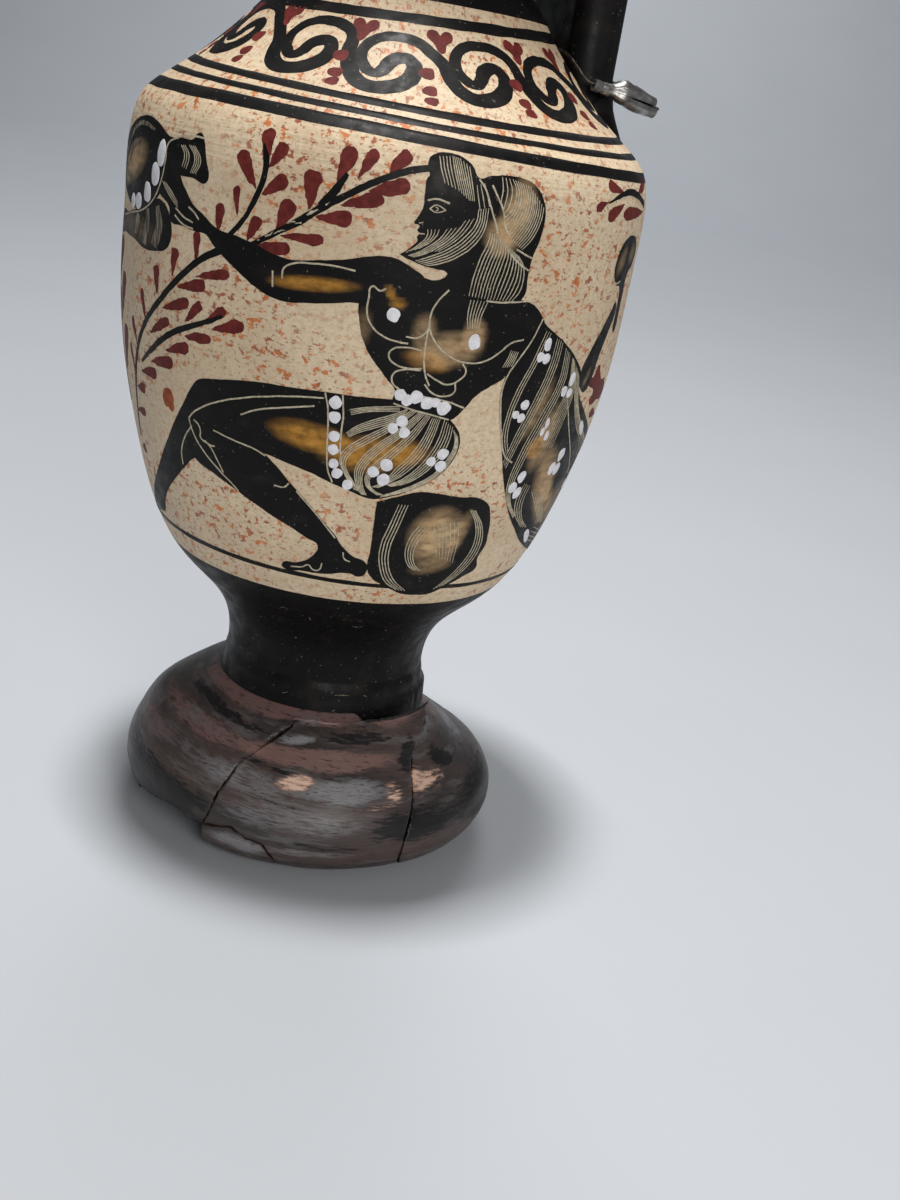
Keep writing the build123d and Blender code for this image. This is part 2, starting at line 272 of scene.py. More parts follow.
def keep(name, bm, look, body="vessel"):
    for e in bm.edges:
        e.smooth = not (e.is_manifold and e.calc_face_angle() > 0.9)
    for f in bm.faces:
        f.smooth = True
    mesh = bpy.data.meshes.new(name)
    bm.to_mesh(mesh)
    bm.free()
    mesh.materials.append(look)
    obj = bpy.data.objects.new(name, mesh)
    scene.collection.objects.link(obj)
    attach(obj, body)
    return obj


def on_vessel(name, bm, sheet, lift, look, slot, film=0.05, unsteady=0.07, washes=()):
    """Wraps a drawing round the vessel as a thin film of paint that belongs to it."""
    if film:
        for f in bm.faces:
            f.normal_update()
            if f.normal.z < 0:
                f.normal_flip()
        raise_film(bm, film)
    amount = bm.verts.layers.float.new("wash") if washes else None
    warmth = bm.verts.layers.float.new("warm") if washes else None
    for v in bm.verts:
        if washes:
            v[amount], v[warmth] = wash_strength(v.co, washes)
        u, w = wobble(v.co, unsteady)
        v.co = sheet(u, w, lift - film + v.co.z) if film else sheet(u, w, lift + v.co.z)
    return keep(name, bm, look)


def brush(name, strokes, sheet, lift, look, slot, fineness=6, **film):
    """Brush strokes as a film of paint on the vessel."""
    bm = bmesh.new()
    ribbons(bm, strokes, fineness)
    return on_vessel(name, bm, sheet, lift, look, slot, **film)


def patch_strength(x, y, patches):
    """How much of the listed patches lies at a place.

    A patch is (x, y, half length, half width, turn, strength).
    """
    total = 0.0
    for px, py, a, b, turn, strength in patches:
        c, s = cos(radians(turn)), sin(radians(turn))
        dx, dy = x - px, y - py
        d = (((dx * c + dy * s) / a) ** 2 + ((dy * c - dx * s) / b) ** 2) ** 0.5
        total += strength * clamp((1.4 - d) / 0.8)
    return min(total, 1.0)


def wash_strength(p, washes):
    """Ochre on the black, and how golden it is."""
    golden = patch_strength(p.x, p.y, [w[:6] for w in washes if w[6]])
    pale = patch_strength(p.x, p.y, [w[:6] for w in washes if not w[6]])
    return min(golden + pale, 1.0), golden / (golden + pale) if golden + pale else 0.0


# Finishes

def finish(name, roughness=0.5, metallic=0.0, specular=0.5):
    made = bpy.data.materials.new(name)
    made.use_nodes = True
    shader = made.node_tree.nodes["Principled BSDF"]
    shader.inputs["Specular IOR Level"].default_value = specular
    shader.inputs["Roughness"].default_value = roughness
    shader.inputs["Metallic"].default_value = metallic
    return made, made.node_tree, shader


def add(tree, kind, settings=None, **inputs):
    made = tree.nodes.new("ShaderNode" + kind)
    for key, value in (settings or {}).items():
        setattr(made, key, value)
    for key, value in inputs.items():
        socket = made.inputs[int(key[1:])] if key[0] == "i" and key[1:].isdigit() else made.inputs[key]
        if isinstance(value, bpy.types.NodeSocket):
            tree.links.new(value, socket)
        else:
            socket.default_value = value
    return made


def places(tree):
    """Object coordinates in millimetres."""
    coords = add(tree, "TexCoord").outputs["Object"]
    return add(tree, "VectorMath", {"operation": "SCALE"}, i0=coords, Scale=1000.0).outputs[0]


def round_places(tree, mm, girth):
    """Places unrolled round the vessel: along the girth, up, outwards."""
    parts = add(tree, "SeparateXYZ", i0=mm)
    turn = add(tree, "Math", {"operation": "ARCTAN2"}, i0=parts.outputs[1], i1=parts.outputs[0]).outputs[0]
    return add(tree, "CombineXYZ", i0=times(tree, turn, girth), i1=parts.outputs[2], i2=0.0).outputs[0]


def mottle(tree, where, scale, detail=3.0, stretch=(1, 1, 1), roughness=0.55):
    spread = add(tree, "Mapping", i0=where, Scale=stretch).outputs[0]
    noise_node = add(tree, "TexNoise", Vector=spread, Scale=scale, Detail=detail, Roughness=roughness)
    return noise_node.outputs["Fac"]


def between_values(tree, value, low, high, out_low=0.0, out_high=1.0):
    made = add(tree, "MapRange", {"interpolation_type": "SMOOTHSTEP"}, Value=value)
    for key, number in (("From Min", low), ("From Max", high), ("To Min", out_low), ("To Max", out_high)):
        made.inputs[key].default_value = number
    return made.outputs[0]


def times(tree, a, b):
    return add(tree, "Math", {"operation": "MULTIPLY"}, i0=a, i1=b).outputs[0]


def plus(tree, a, b):
    return add(tree, "Math", {"operation": "ADD"}, i0=a, i1=b).outputs[0]


def trait(tree, name):
    return add(tree, "Attribute", {"attribute_name": name}).outputs["Fac"]


def mixed(tree, amount, below, above):
    made = add(tree, "Mix", {"data_type": "RGBA"})
    for socket, value in ((made.inputs[0], amount), (made.inputs[6], below), (made.inputs[7], above)):
        if isinstance(value, bpy.types.NodeSocket):
            tree.links.new(value, socket)
        else:
            socket.default_value = value if isinstance(value, float) else (*value, 1.0)
    return made.outputs[2]


def coat(tree, shader, colour, roughness=None):
    tree.links.new(colour, shader.inputs["Base Color"])
    if roughness is not None:
        tree.links.new(roughness, shader.inputs["Roughness"])


def bumped(tree, shader, height, distance, strength=1.0):
    made = add(tree, "Bump", Height=height, Distance=distance * MM, Strength=strength)
    tree.links.new(made.outputs[0], shader.inputs["Normal"])


def cream_finish():
    made, tree, shader = finish("cream_slip", specular=0.35)
    mm = places(tree)
    unrolled = round_places(tree, mm, BELLY_GIRTH)
    clouds = mottle(tree, mm, 0.06, 3.0)
    shade = between_values(tree, clouds, 0.35, 0.68)
    colour = mixed(tree, shade, (0.645, 0.52, 0.362), (0.549, 0.424, 0.283))
    grain = mottle(tree, mm, 1.3, 5.0)
    colour = mixed(tree, between_values(tree, grain, 0.35, 0.7, 0.0, 0.5), colour, (0.43, 0.323, 0.198))
    gather = between_values(tree, mottle(tree, mm, 0.055, 2.0), 0.34, 0.56, 0.3, 1.0)
    speckle = mottle(tree, unrolled, 0.66, 5.0, (0.9, 1.1, 1), 0.64)
    flecks = between_values(tree, speckle, 0.545, 0.598, 0.0, 0.95)
    rust = between_values(tree, mottle(tree, mm, 0.4, 2.0), 0.4, 0.6)
    tint = mixed(tree, rust, (0.52, 0.15, 0.032), (0.26, 0.062, 0.028))
    colour = mixed(tree, times(tree, flecks, gather), colour, tint)
    crumbs = between_values(tree, mottle(tree, unrolled, 1.6, 4.0, (0.7, 1.2, 1), 0.6), 0.585, 0.635)
    colour = mixed(tree, times(tree, times(tree, crumbs, gather), 0.85), colour, (0.25, 0.095, 0.045))
    dust = between_values(tree, mottle(tree, unrolled, 2.6, 2.0, (0.8, 1.1, 1)), 0.645, 0.71)
    colour = mixed(tree, times(tree, dust, 0.55), colour, (0.16, 0.10, 0.06))
    coat(tree, shader, colour, between_values(tree, clouds, 0.3, 0.7, 0.62, 0.48))
    turning = mottle(tree, unrolled, 1.3, 3.0, (0.05, 1.0, 1))
    bumped(tree, shader, plus(tree, turning, times(tree, grain, 0.5)), 0.2, 0.6)
    return made


def black_finish():
    made, tree, shader = finish("black_slip", specular=0.12)
    mm = places(tree)
    unrolled = round_places(tree, mm, BELLY_GIRTH)
    thin = between_values(tree, mottle(tree, unrolled, 0.16, 4.0, (0.6, 1.3, 1)), 0.5, 0.78)
    colour = mixed(tree, times(tree, thin, 0.8), (0.0045, 0.0040, 0.0040), (0.016, 0.012, 0.010))
    bristles = mottle(tree, unrolled, 0.55, 5.0, (0.6, 1.4, 1))
    patchy = between_values(tree, bristles, 0.30, 0.62, 0.5, 1.0)
    pale = mixed(tree, mottle(tree, mm, 0.9, 3.0), (0.33, 0.20, 0.095), (0.60, 0.42, 0.23))
    golden = mixed(tree, mottle(tree, mm, 0.9, 3.0), (0.20, 0.075, 0.006), (0.55, 0.28, 0.055))
    ochre = mixed(tree, trait(tree, "warm"), pale, golden)
    colour = mixed(tree, times(tree, trait(tree, "wash"), patchy), colour, ochre)
    grit = between_values(tree, mottle(tree, mm, 1.9, 2.0), 0.69, 0.74)
    colour = mixed(tree, times(tree, grit, 0.35), colour, (0.34, 0.29, 0.23))
    coat(tree, shader, colour, between_values(tree, mottle(tree, mm, 0.35, 4.0), 0.3, 0.7, 0.38, 0.58))
    bumped(tree, shader, mottle(tree, unrolled, 1.1, 3.0, (0.08, 1.0, 1)), 0.06, 0.45)
    return made


def paint_finish(name, low, high, roughness, scale):
    made, tree, shader = finish(name, roughness, specular=0.12)
    mm = places(tree)
    blotch = between_values(tree, mottle(tree, mm, scale, 4.0), 0.3, 0.72)
    coat(tree, shader, mixed(tree, blotch, low, high))
    bumped(tree, shader, mottle(tree, mm, scale * 2.5, 3.0), 0.05, 0.5)
    return made


def brushed_finish():
    """Thin grey-beige strokes that let the black show between the bristles."""
    made, tree, shader = finish("thin_strokes", 0.55, specular=0.3)
    mm = places(tree)
    bristle = mottle(tree, round_places(tree, mm, BELLY_GIRTH), 2.2, 3.0, (1.0, 0.12, 1))
    cover = between_values(tree, bristle, 0.40, 0.66)
    coat(tree, shader, mixed(tree, cover, (0.035, 0.028, 0.02), (0.27, 0.23, 0.165)))
    return made


def clay_finish():
    made, tree, shader = finish("burnished_clay", specular=0.28)
    mm = places(tree)
    unrolled = round_places(tree, mm, BRUSH_GIRTH)
    slope = add(tree, "Mapping", i0=unrolled, Rotation=(0, 0, radians(2))).outputs[0]
    hairs = mottle(tree, slope, 2.3, 5.0, (0.13, 1.0, 1), 0.65)
    streaks = mottle(tree, slope, 0.50, 5.0, (0.12, 1.0, 1), 0.62)
    broad = mottle(tree, slope, 0.10, 3.0, (0.3, 1.3, 1))
    shade = between_values(tree, broad, 0.36, 0.62)
    colour = mixed(tree, shade, (0.036, 0.029, 0.028), (0.080, 0.056, 0.050))
    comb = between_values(tree, hairs, 0.3, 0.7, -0.32, 0.32)

    def brushed_patch(name, low, high, most):
        return between_values(tree, plus(tree, trait(tree, name), comb), low, high, 0.0, most)

    colour = mixed(tree, brushed_patch("mauve", 0.25, 0.75, 0.95), colour, (0.19, 0.109, 0.097))
    colour = mixed(tree, between_values(tree, streaks, 0.50, 0.66, 0.0, 0.45), colour, (0.16, 0.15, 0.152))
    # grey brushed paint and painted sheen
    colour = mixed(tree, brushed_patch("ash_and_sheen", 0.15, 1.0, 0.85), colour, (0.27, 0.264, 0.274))
    colour = mixed(tree, between_values(tree, hairs, 0.53, 0.66, 0.0, 0.7), colour, (0.016, 0.013, 0.0135))
    # soot and painted shade
    colour = mixed(tree, brushed_patch("soot_and_shade", 0.3, 0.75, 0.93), colour, (0.0095, 0.0085, 0.0092))
    # copper where the burnish is rubbed through, partly a painted highlight
    ragged = plus(tree, trait(tree, "rubbed_and_highlight"), between_values(tree, hairs, 0.3, 0.7, 0.25, -0.45))
    copper_and_highlight = mixed(tree, between_values(tree, ragged, 0.5, 1.0), (0.30, 0.18, 0.14), (0.78, 0.52, 0.39))
    colour = mixed(tree, between_values(tree, ragged, 0.25, 0.85, 0.0, 0.92), colour, copper_and_highlight)
    broken = mixed(tree, mottle(tree, mm, 1.0, 4.0), (0.010, 0.007, 0.006), (0.05, 0.028, 0.021))
    colour = mixed(tree, trait(tree, "raw"), colour, broken)
    coat(tree, shader, colour, between_values(tree, streaks, 0.3, 0.7, 0.30, 0.46))
    bumped(tree, shader, plus(tree, streaks, times(tree, hairs, 0.5)), 0.2, 0.7)
    return made


def metal_finish(name, dark, bright, roughness, scale):
    made, tree, shader = finish(name, roughness, 0.85)
    mm = places(tree)
    blotch = mottle(tree, mm, scale, 5.0)
    dull = between_values(tree, blotch, 0.3, 0.7, roughness + 0.12, roughness - 0.1)
    coat(tree, shader, mixed(tree, between_values(tree, blotch, 0.36, 0.66), dark, bright), dull)
    bumped(tree, shader, blotch, 0.12, 0.6)
    return made


cream = cream_finish()
black = black_finish()
clay = clay_finish()
leaf_red = paint_finish("leaf_red", (0.085, 0.013, 0.011), (0.145, 0.023, 0.019), 0.55, 0.8)
cut_clay = paint_finish("cut_lines", (0.30, 0.26, 0.185), (0.52, 0.46, 0.34), 0.65, 1.5)
orange = paint_finish("orange_drop", (0.20, 0.045, 0.018), (0.36, 0.095, 0.035), 0.6, 0.9)
white = paint_finish("white_paint", (0.58, 0.57, 0.59), (0.72, 0.71, 0.74), 0.5, 1.0)
thin_stroke = brushed_finish()
lead = metal_finish("lead", (0.10, 0.094, 0.088), (0.27, 0.265, 0.26), 0.36, 0.45)
wire = metal_finish("wire", (0.045, 0.036, 0.030), (0.12, 0.10, 0.085), 0.45, 1.2)

FOOT_PIECES = ("foot", "foot_front_sherd", "foot_right_sherd", "foot_edge_sherd")
COATS = (
    (cream, ("belly", "shoulder")), (black, ("stem", "neck", "mouth", "handle")),
    (wire, ("seal_wire",)), (lead, ("lead_seal",)), (clay, FOOT_PIECES),
)
for look, coated in COATS:
    for name in coated:
        nodes[name].data.materials.clear()
        nodes[name].data.materials.append(look)


# Stripes that run round the vessel

def stripe(name, sheet, girth, middle, half, tilt, cuts=1, lift=0.05):
    """A painted ring at a height, tipped by (sideways, front) amounts, with a hand's unevenness."""
    bm, raised = sleeve(240, 2, cuts)
    for v in bm.verts:
        turn = atan2(v.co.y, v.co.x)
        way = Vector((cos(turn), sin(turn), 0)) * 2.6
        uneven = 1 + 0.16 * noise.noise(way * 3 + Vector((0, 0, middle))) if cuts == 1 else 1
        drift = 0.12 * noise.noise(way * 2 + Vector((0, 0, middle + 7 + v.co.z * 0.2)))
        height = middle + v.co.z * half * uneven + tilt[0] * sin(turn) + tilt[1] * cos(turn) + drift
        v.co = sheet(turn * girth, height, lift if v in raised else 0.0)
    bmesh.ops.recalc_face_normals(bm, faces=bm.faces)
    return keep(name, bm, black)


stripe("black_base", belly_sheet, BELLY_GIRTH, 43.9, 10.8, (-0.15, 0.0), 15)
stripe("ground_line", belly_sheet, BELLY_GIRTH, 59.0, 0.42, (-0.75, 0.0))
stripe("edge_stripe", belly_sheet, BELLY_GIRTH, 131.05, 0.82, (-1.38, 0.7), 2)
stripe("low_shoulder_stripe", shoulder_sheet, SHOULDER_GIRTH, 3.55, 0.68, (-1.75, -0.75))
stripe("mid_shoulder_stripe", shoulder_sheet, SHOULDER_GIRTH, 7.1, 0.82, (-1.6, -1.6))
stripe("high_shoulder_stripe", shoulder_sheet, SHOULDER_GIRTH, 24.6, 1.0, (0.9, -0.8))

# Running scroll on the shoulder

LEAF_GRID = 1.5
SCROLL = [
    ((-8.1, 15.0), 2.3), ((-6.9, 12.0), 2.3), ((-5.7, 10.0), 2.5), ((-3.9, 8.9), 2.7), ((-1.4, 9.3), 2.8),
    ((0.8, 11.0), 2.7), ((1.8, 13.1), 2.4), ((1.7, 14.9), 2.3), ((0.6, 15.8), 2.2), ((-0.8, 15.5), 2.4),
    ((-1.8, 14.4), 2.3), ((-2.3, 13.0), 2.1), ((-3.4, 11.9), 1.9), ((-5.0, 12.8), 1.8), ((-6.1, 15.0), 1.9),
    ((-5.7, 17.5), 1.9), ((-3.9, 19.2), 1.9), ((-0.9, 19.8), 1.9), ((2.2, 19.3), 2.0), ((4.2, 17.8), 2.1)
]
UNITS = [
    (-108.3, 1.4), (-94.8, 1.8), (-81.4, 2.2), (-67.9, 2.5), (-54.5, 2.7), (-42.2, 2.6), (-29.8, 2.5),
    (-13.4, 1.0), (-0.6, 0.0), (13.6, 0.9), (27.0, 0.2), (42.0, 0.4)
]
path, widths = [], []
for at, rise in UNITS:
    path += [(at + p[0], p[1] + rise) for p, w in SCROLL]
    widths += [w for p, w in SCROLL]
brush("running_scroll", [(path, widths)], shoulder_sheet, 0.05, black, "black_slip", 5, unsteady=0.12)

HEARTS = (
    (-119, 20.8, 0.2), (-101.6, 20.9, -0.2), (-88.1, 21.3, 0.3), (-74.6, 21.6, 0), (-61.2, 21.8, 0.4),
    (-48.2, 21.8, -0.3), (-36.6, 21.7, 0.2), (-23.2, 20.6, 0.7), (-7.7, 20.0, -0.1), (5.2, 20.0, 0.2),
    (20.1, 20.6, -0.2), (31.6, 20.7, 0.1), (46, 20.8, 0)
)
SCROLL_DOTS = ((3.7, 13.5, 1.15), (4.1, 10.0, 1.05), (4.3, 7.9, 0.9))
reds = bmesh.new()
for at, low, lean in HEARTS:
    heart = [
        (at, low + 1.35, 1), (at + 0.7, low + 2.2), (at + 1.9, low + 2.1), (at + 2.2, low + 1.0),
        (at + 1.1, low - 0.3), (at + lean + 0.35, low - 2.0), (at + lean - 0.25, low - 2.0),
        (at - 1.1, low - 0.3), (at - 2.3, low + 1.0), (at - 2.0, low + 2.1), (at - 0.8, low + 2.2)
    ]
    fill(reds, heart, 5)
for at, rise in UNITS:
    for du, v, size in SCROLL_DOTS:
        shape = noise.noise(Vector((at, v, 0)))
        start = (at + du - size, v + rise * 0.8 + shape * 0.3)
        leaf(reds, start, (at + du + size, v + rise * 0.8 - shape * 0.5), size * 1.9, 0.8)
even_triangles(reds, LEAF_GRID)
on_vessel("shoulder_leaves", reds, shoulder_sheet, 0.055, leaf_red, "cream_slip", unsteady=0.15)

# The picture: dark shapes

SKIN = [
    (-64, 119.5), (-60, 123.6), (-55, 126), (-49, 127.4), (-44, 127), (-39.5, 125.4), (-36.5, 124.8),
    (-35.6, 121.5), (-36.5, 118.8), (-39.8, 117.6), (-41.2, 115.8), (-43.8, 114.4), (-47, 113.2),
    (-51, 112.9), (-57, 114.6), (-62.5, 117)
]
SPOUT = [
    (-37.2, 125), (-33.2, 125.8), (-32.5, 126.7), (-31.7, 126.8), (-31, 126.1), (-29.8, 123.2),
    (-29, 120.6), (-29.5, 119.8), (-32, 120.1), (-37, 120.8)
]
FLAP = [
    (-48, 113.2), (-43.2, 114.8), (-40.3, 115.6), (-37.2, 113.4), (-36.6, 110.2), (-37.5, 108.6),
    (-41, 107.5), (-45, 107.2), (-49, 107.9), (-55, 108.2), (-61, 108.6), (-60, 110.9), (-54, 111.7)
]
ARM = [
    (-41, 117.2), (-39.4, 119.4), (-36.4, 120.7), (-34, 118.4), (-31.8, 116.3), (-29.5, 115.2),
    (-26.5, 113.7), (-23, 113.3), (-19, 112.6), (-15.5, 111.7), (-13, 111.5), (-9, 112.2), (-5, 113),
    (-1.5, 114), (1, 114.4), (3, 114.2), (5, 113.3), (7, 112.2), (8, 108), (1, 106.2), (-2.2, 106.9),
    (-6, 106.3), (-10, 105.6), (-13, 105.2), (-16, 105.5), (-19.2, 106.7), (-22, 108.2), (-24.8, 109.8),
    (-26.8, 111), (-28.4, 112.3), (-31, 112.4), (-34, 112.7), (-37, 113), (-37.6, 115)
]
TORSO = [
    (-2.1, 107), (-1.7, 104.6), (-0.9, 102), (0.3, 99.9), (2.2, 97.7), (4, 95.9), (5.3, 94.5), (5.3, 92.4),
    (10, 91), (15, 90.4), (17.3, 92.6), (18.7, 94.6), (21, 96.4), (22.7, 97.4), (23.6, 98.2), (25, 99.5),
    (27, 101), (30, 104), (29.8, 106), (28.3, 108.2), (26.5, 109.6), (24, 110.3), (19, 111.5),
    (15.4, 112.6), (13, 113.4), (10.7, 113.2), (10.1, 112.5), (8.6, 111.9), (7, 112.1), (4, 112.6),
    (1, 112.8), (-1, 110.5)
]
KILT = [
    (6, 92.9), (0, 92.7), (-5, 92.6), (-10, 92.3), (-16, 92), (-20.5, 91.4), (-25, 90.5), (-28.6, 89.6),
    (-30.6, 87.5), (-32.3, 85), (-35, 81.5), (-38, 77.6), (-41, 74.1), (-45, 70), (-50, 65.8), (-55, 61.9),
    (-58.5, 60.3), (-59.5, 59.4, 1), (-56, 59.6), (-50.5, 60.9), (-46.8, 61.8), (-45.2, 63.8), (-42, 66.9),
    (-38, 70), (-34, 73.2), (-30.8, 75.7), (-26, 77.5), (-22, 79.3), (-15.4, 80.3), (-11, 79.6), (-7, 78.8),
    (-3, 77.6), (0, 76.8), (4.4, 75.7), (7, 76.2), (11, 77.8), (14.5, 79.8), (17, 82.5), (18, 85.2),
    (17.8, 87.6), (16.5, 89.5), (14.5, 91)
]
SHIN = [
    (-31, 83), (-25.5, 82.2), (-20, 81.3), (-15.6, 80.4), (-12.5, 78.3), (-10, 76), (-7, 73.5), (-4, 70.8),
    (-1, 68), (0.8, 66), (3, 64.5), (5.6, 63.6), (6.4, 62.2), (5.5, 60.6), (2.5, 61), (-2, 60.2), (-7, 60),
    (-11.3, 59.9), (-11.6, 60.6), (-8, 61.6), (-5.6, 63), (-4.2, 65.5), (-6.4, 66.7), (-10, 68.2),
    (-14, 69.7), (-19, 71.7), (-22, 72.8), (-26, 74.2), (-30.5, 75.8), (-33, 79)
]
SEAT = [
    (5.6, 75.3, 1), (9.5, 76.7), (13, 77.7), (17, 77.5), (21, 77), (25.4, 76.7), (28, 75.5), (29.8, 73),
    (31, 70), (31.8, 67), (31.3, 64.4), (32.3, 62.3), (29.6, 60.6), (27.8, 59.6), (25.6, 58.4),
    (22.5, 57.2), (19, 57), (15, 57.5), (11, 59), (7.6, 60.6), (6.3, 62.6), (6.2, 66), (5.9, 70)
]
DRAPE = [
    (28, 107.2), (30.5, 106.2), (32.2, 105.3), (35.5, 103.5), (39.5, 100.8), (42.1, 98.3), (43.1, 95.2),
    (47.3, 91.7), (53.8, 87.9), (60, 84.6), (64, 81.5), (67, 78), (69.5, 71.5), (67.5, 65), (64, 61),
    (60, 61.1), (55, 62.4), (50, 63.9), (46, 65.5), (43, 67), (40, 69), (36.5, 71.6), (33, 75.1),
    (30.5, 78.6), (28.4, 82.2), (26.4, 86.8), (24.6, 91), (23.4, 95), (23.6, 98), (25, 102.5), (26.6, 106)
]
REACH = [
    (42, 98.2), (43.6, 101.9), (46, 105.1), (49, 108.7), (50, 109.8), (51.1, 108.6), (49.6, 105),
    (47.7, 101), (46.9, 97), (45.4, 94.8), (43.8, 95.2)
]
CUP = [
    (46.6, 114.6), (46.4, 116.8), (47.4, 119.2), (49.6, 120.6), (52, 120.9), (55, 120), (56.6, 118),
    (55.8, 115.7), (53.6, 114.6), (53.4, 110.5), (53.1, 104.6), (52.3, 104.6), (51.6, 108.4), (50.4, 112.4),
    (48.4, 112.8)
]
HAIR = [
    (5.7, 126.9), (5.4, 129.1), (6.4, 129.9), (9.2, 130.2), (11, 129.7), (12.3, 128.8), (13.2, 127.5),
    (15.4, 128), (17.7, 128.3), (20.6, 128.2), (23.1, 127.3), (24.8, 125.3), (25.4, 122.9), (25, 119.4),
    (24.3, 116.8), (24.1, 114.5), (23.7, 110.4), (19, 109.8), (17.6, 106.4), (17.3, 104.6), (15.4, 104.6),
    (14.8, 106.4), (14.6, 109.5), (14.2, 112), (12, 114), (9, 118), (7.5, 123)
]
# The face is drawn from the usual thirds: hairline, brow, foot of the nose, chin
HAIRLINE, CHIN = 126.8, 116.0
THIRD = (HAIRLINE - CHIN) / 3
FACE_X = 5.6
BROW, NOSE_FOOT = HAIRLINE - THIRD, HAIRLINE - 2 * THIRD
LIPS = NOSE_FOOT - THIRD / 3
FACE = [
    (FACE_X + 0.2, HAIRLINE), (FACE_X - 0.25, BROW + 0.7), (FACE_X - 0.15, BROW - 0.5),
    (FACE_X - 0.95, NOSE_FOOT + 0.75), (FACE_X - 1.2, NOSE_FOOT + 0.25), (FACE_X - 0.35, NOSE_FOOT - 0.15),
    (FACE_X - 0.6, LIPS + 0.45), (FACE_X - 0.25, LIPS), (FACE_X - 0.5, LIPS - 0.5),
    (FACE_X - 0.35, LIPS - 1.0), (FACE_X - 0.9, CHIN + 0.6), (FACE_X - 1.9, CHIN - 0.4),
    (FACE_X - 2.7, CHIN - 1.0, 1), (FACE_X - 0.4, CHIN - 1.75), (7, 113.8), (8.9, 113.6), (10.3, 113.4),
    (11, 112.6), (13.6, 112.4), (15, 115), (15.4, 120), (13, 126)
]

WASHES = [
    (-9.4, 108.6, 5.6, 0.95, 6, 0.95, 1), (2.4, 109.3, 0.6, 1.0, 30, 0.9, 1),
    (3.7, 107.8, 1.1, 0.8, 0, 0.8, 1), (8.4, 104.2, 1.6, 2.3, 0, 0.5, 0),
    (12.6, 101.6, 4.6, 2.4, 12, 0.75, 0), (16.6, 104.4, 1.7, 2.2, 0, 0.8, 0),
    (-1, 103.5, 1.2, 2.4, 0, 0.25, 0), (9.6, 99.6, 3.2, 1.3, -10, 0.6, 1), (-7, 84.8, 6.0, 2.0, -4, 1.0, 1),
    (3.5, 83.5, 7.0, 2.6, 8, 1.0, 1), (10, 84, 3.0, 1.4, 20, 0.6, 1), (18.6, 69.6, 4.6, 4.4, 0, 1.0, 0),
    (23.5, 69, 1.6, 4.5, -12, 0.5, 0), (20, 63.4, 4.0, 1.4, 8, 0.4, 0),
    (20.3, 122.8, 2.3, 4.6, -14, 0.9, 0), (17.8, 119.2, 2.0, 2.4, 20, 0.75, 0),
    (34.8, 85.6, 2.0, 1.6, 0, 0.95, 1), (36.6, 87.2, 2.2, 5.0, -8, 0.7, 0),
    (42.5, 79.0, 3.0, 6.0, 30, 0.8, 0), (32.5, 92.5, 1.2, 4.6, -20, 0.5, 0),
    (47, 73.5, 2.6, 5.0, 50, 0.7, 0), (57, 71, 4.0, 7.0, 60, 0.4, 0), (-52.5, 120.0, 5.5, 2.5, 20, 0.9, 0),
    (-57, 118, 3.0, 2.0, 0, 0.5, 0), (53.6, 117.8, 1.5, 1.4, 0, 0.3, 0), (-50, 109.7, 8.0, 2.0, 0, 0.2, 0),
    (48.8, 116.8, 1.2, 2.2, -25, 0.35, 0), (44.6, 97.4, 0.5, 1.6, -20, 0.4, 0)
]
FIGURE_GRID = 0.55
OVERLAP = 0.004
SHAPES = [
    ("wine_skin", SKIN), ("skin_flap", FLAP), ("skin_spout", SPOUT), ("thigh_and_shin", KILT),
    ("lower_leg", SHIN), ("torso", TORSO), ("stretched_arm", ARM), ("seat_block", SEAT), ("drape", DRAPE),
    ("reaching_arm", REACH), ("raised_cup", CUP), ("hair", HAIR), ("face", FACE)
]
for order, (name, outline) in enumerate(SHAPES):
    bm = bmesh.new()
    fill(bm, outline)
    even_triangles(bm, FIGURE_GRID)
    on_vessel(name, bm, belly_sheet, 0.05 + OVERLAP * order, black, "black_slip", washes=WASHES)

# Plants: dark stems and red brush leaves

STEMS = [
    ([(-53, 74), (-51.2, 80), (-49.3, 86), (-46.5, 91.5), (-43, 96), (-38, 100.8), (-33, 105.4),
        (-29, 108.6), (-25, 110.8)], [0.5, 0.7, 0.8, 0.9, 1.0, 1.0, 1.1, 1.1, 1.2]),
    ([(-45.5, 88.6), (-41.5, 91.4), (-38, 93.9), (-34, 96.2), (-30, 98), (-26.2, 99.6), (-24, 100.8)],
        [0.5, 0.9, 1.0, 1.0, 0.9, 0.8, 0.5]), ([(-24, 113), (-21.6, 116), (-20, 119.2), (-19, 122.2),
        (-18.9, 125), (-19.8, 127.2)], [0.8, 0.8, 0.85, 0.9, 1.0, 0.35]),
    ([(-20, 112.4), (-16, 115), (-12.5, 117.3), (-9.5, 119.7), (-6, 122.1), (-2, 124.7), (2, 126.7),
        (6, 127.9)], [0.8, 0.95, 1.1, 1.2, 1.0, 1.0, 1.0, 1.0]),
    ([(-9.6, 120), (-7.5, 122.8), (-6.2, 125.2)], [1.1, 1.25, 0.6]),
    ([(-58.2, 79), (-60, 86), (-61.6, 93), (-63.5, 101), (-64.6, 108)], [0.5, 0.8, 0.9, 0.8, 0.4]),
    ([(40, 126), (44, 127.2), (48, 127.8), (52, 127.3), (58, 125.6)], [0.3, 0.7, 1.1, 1.1, 0.9])
]
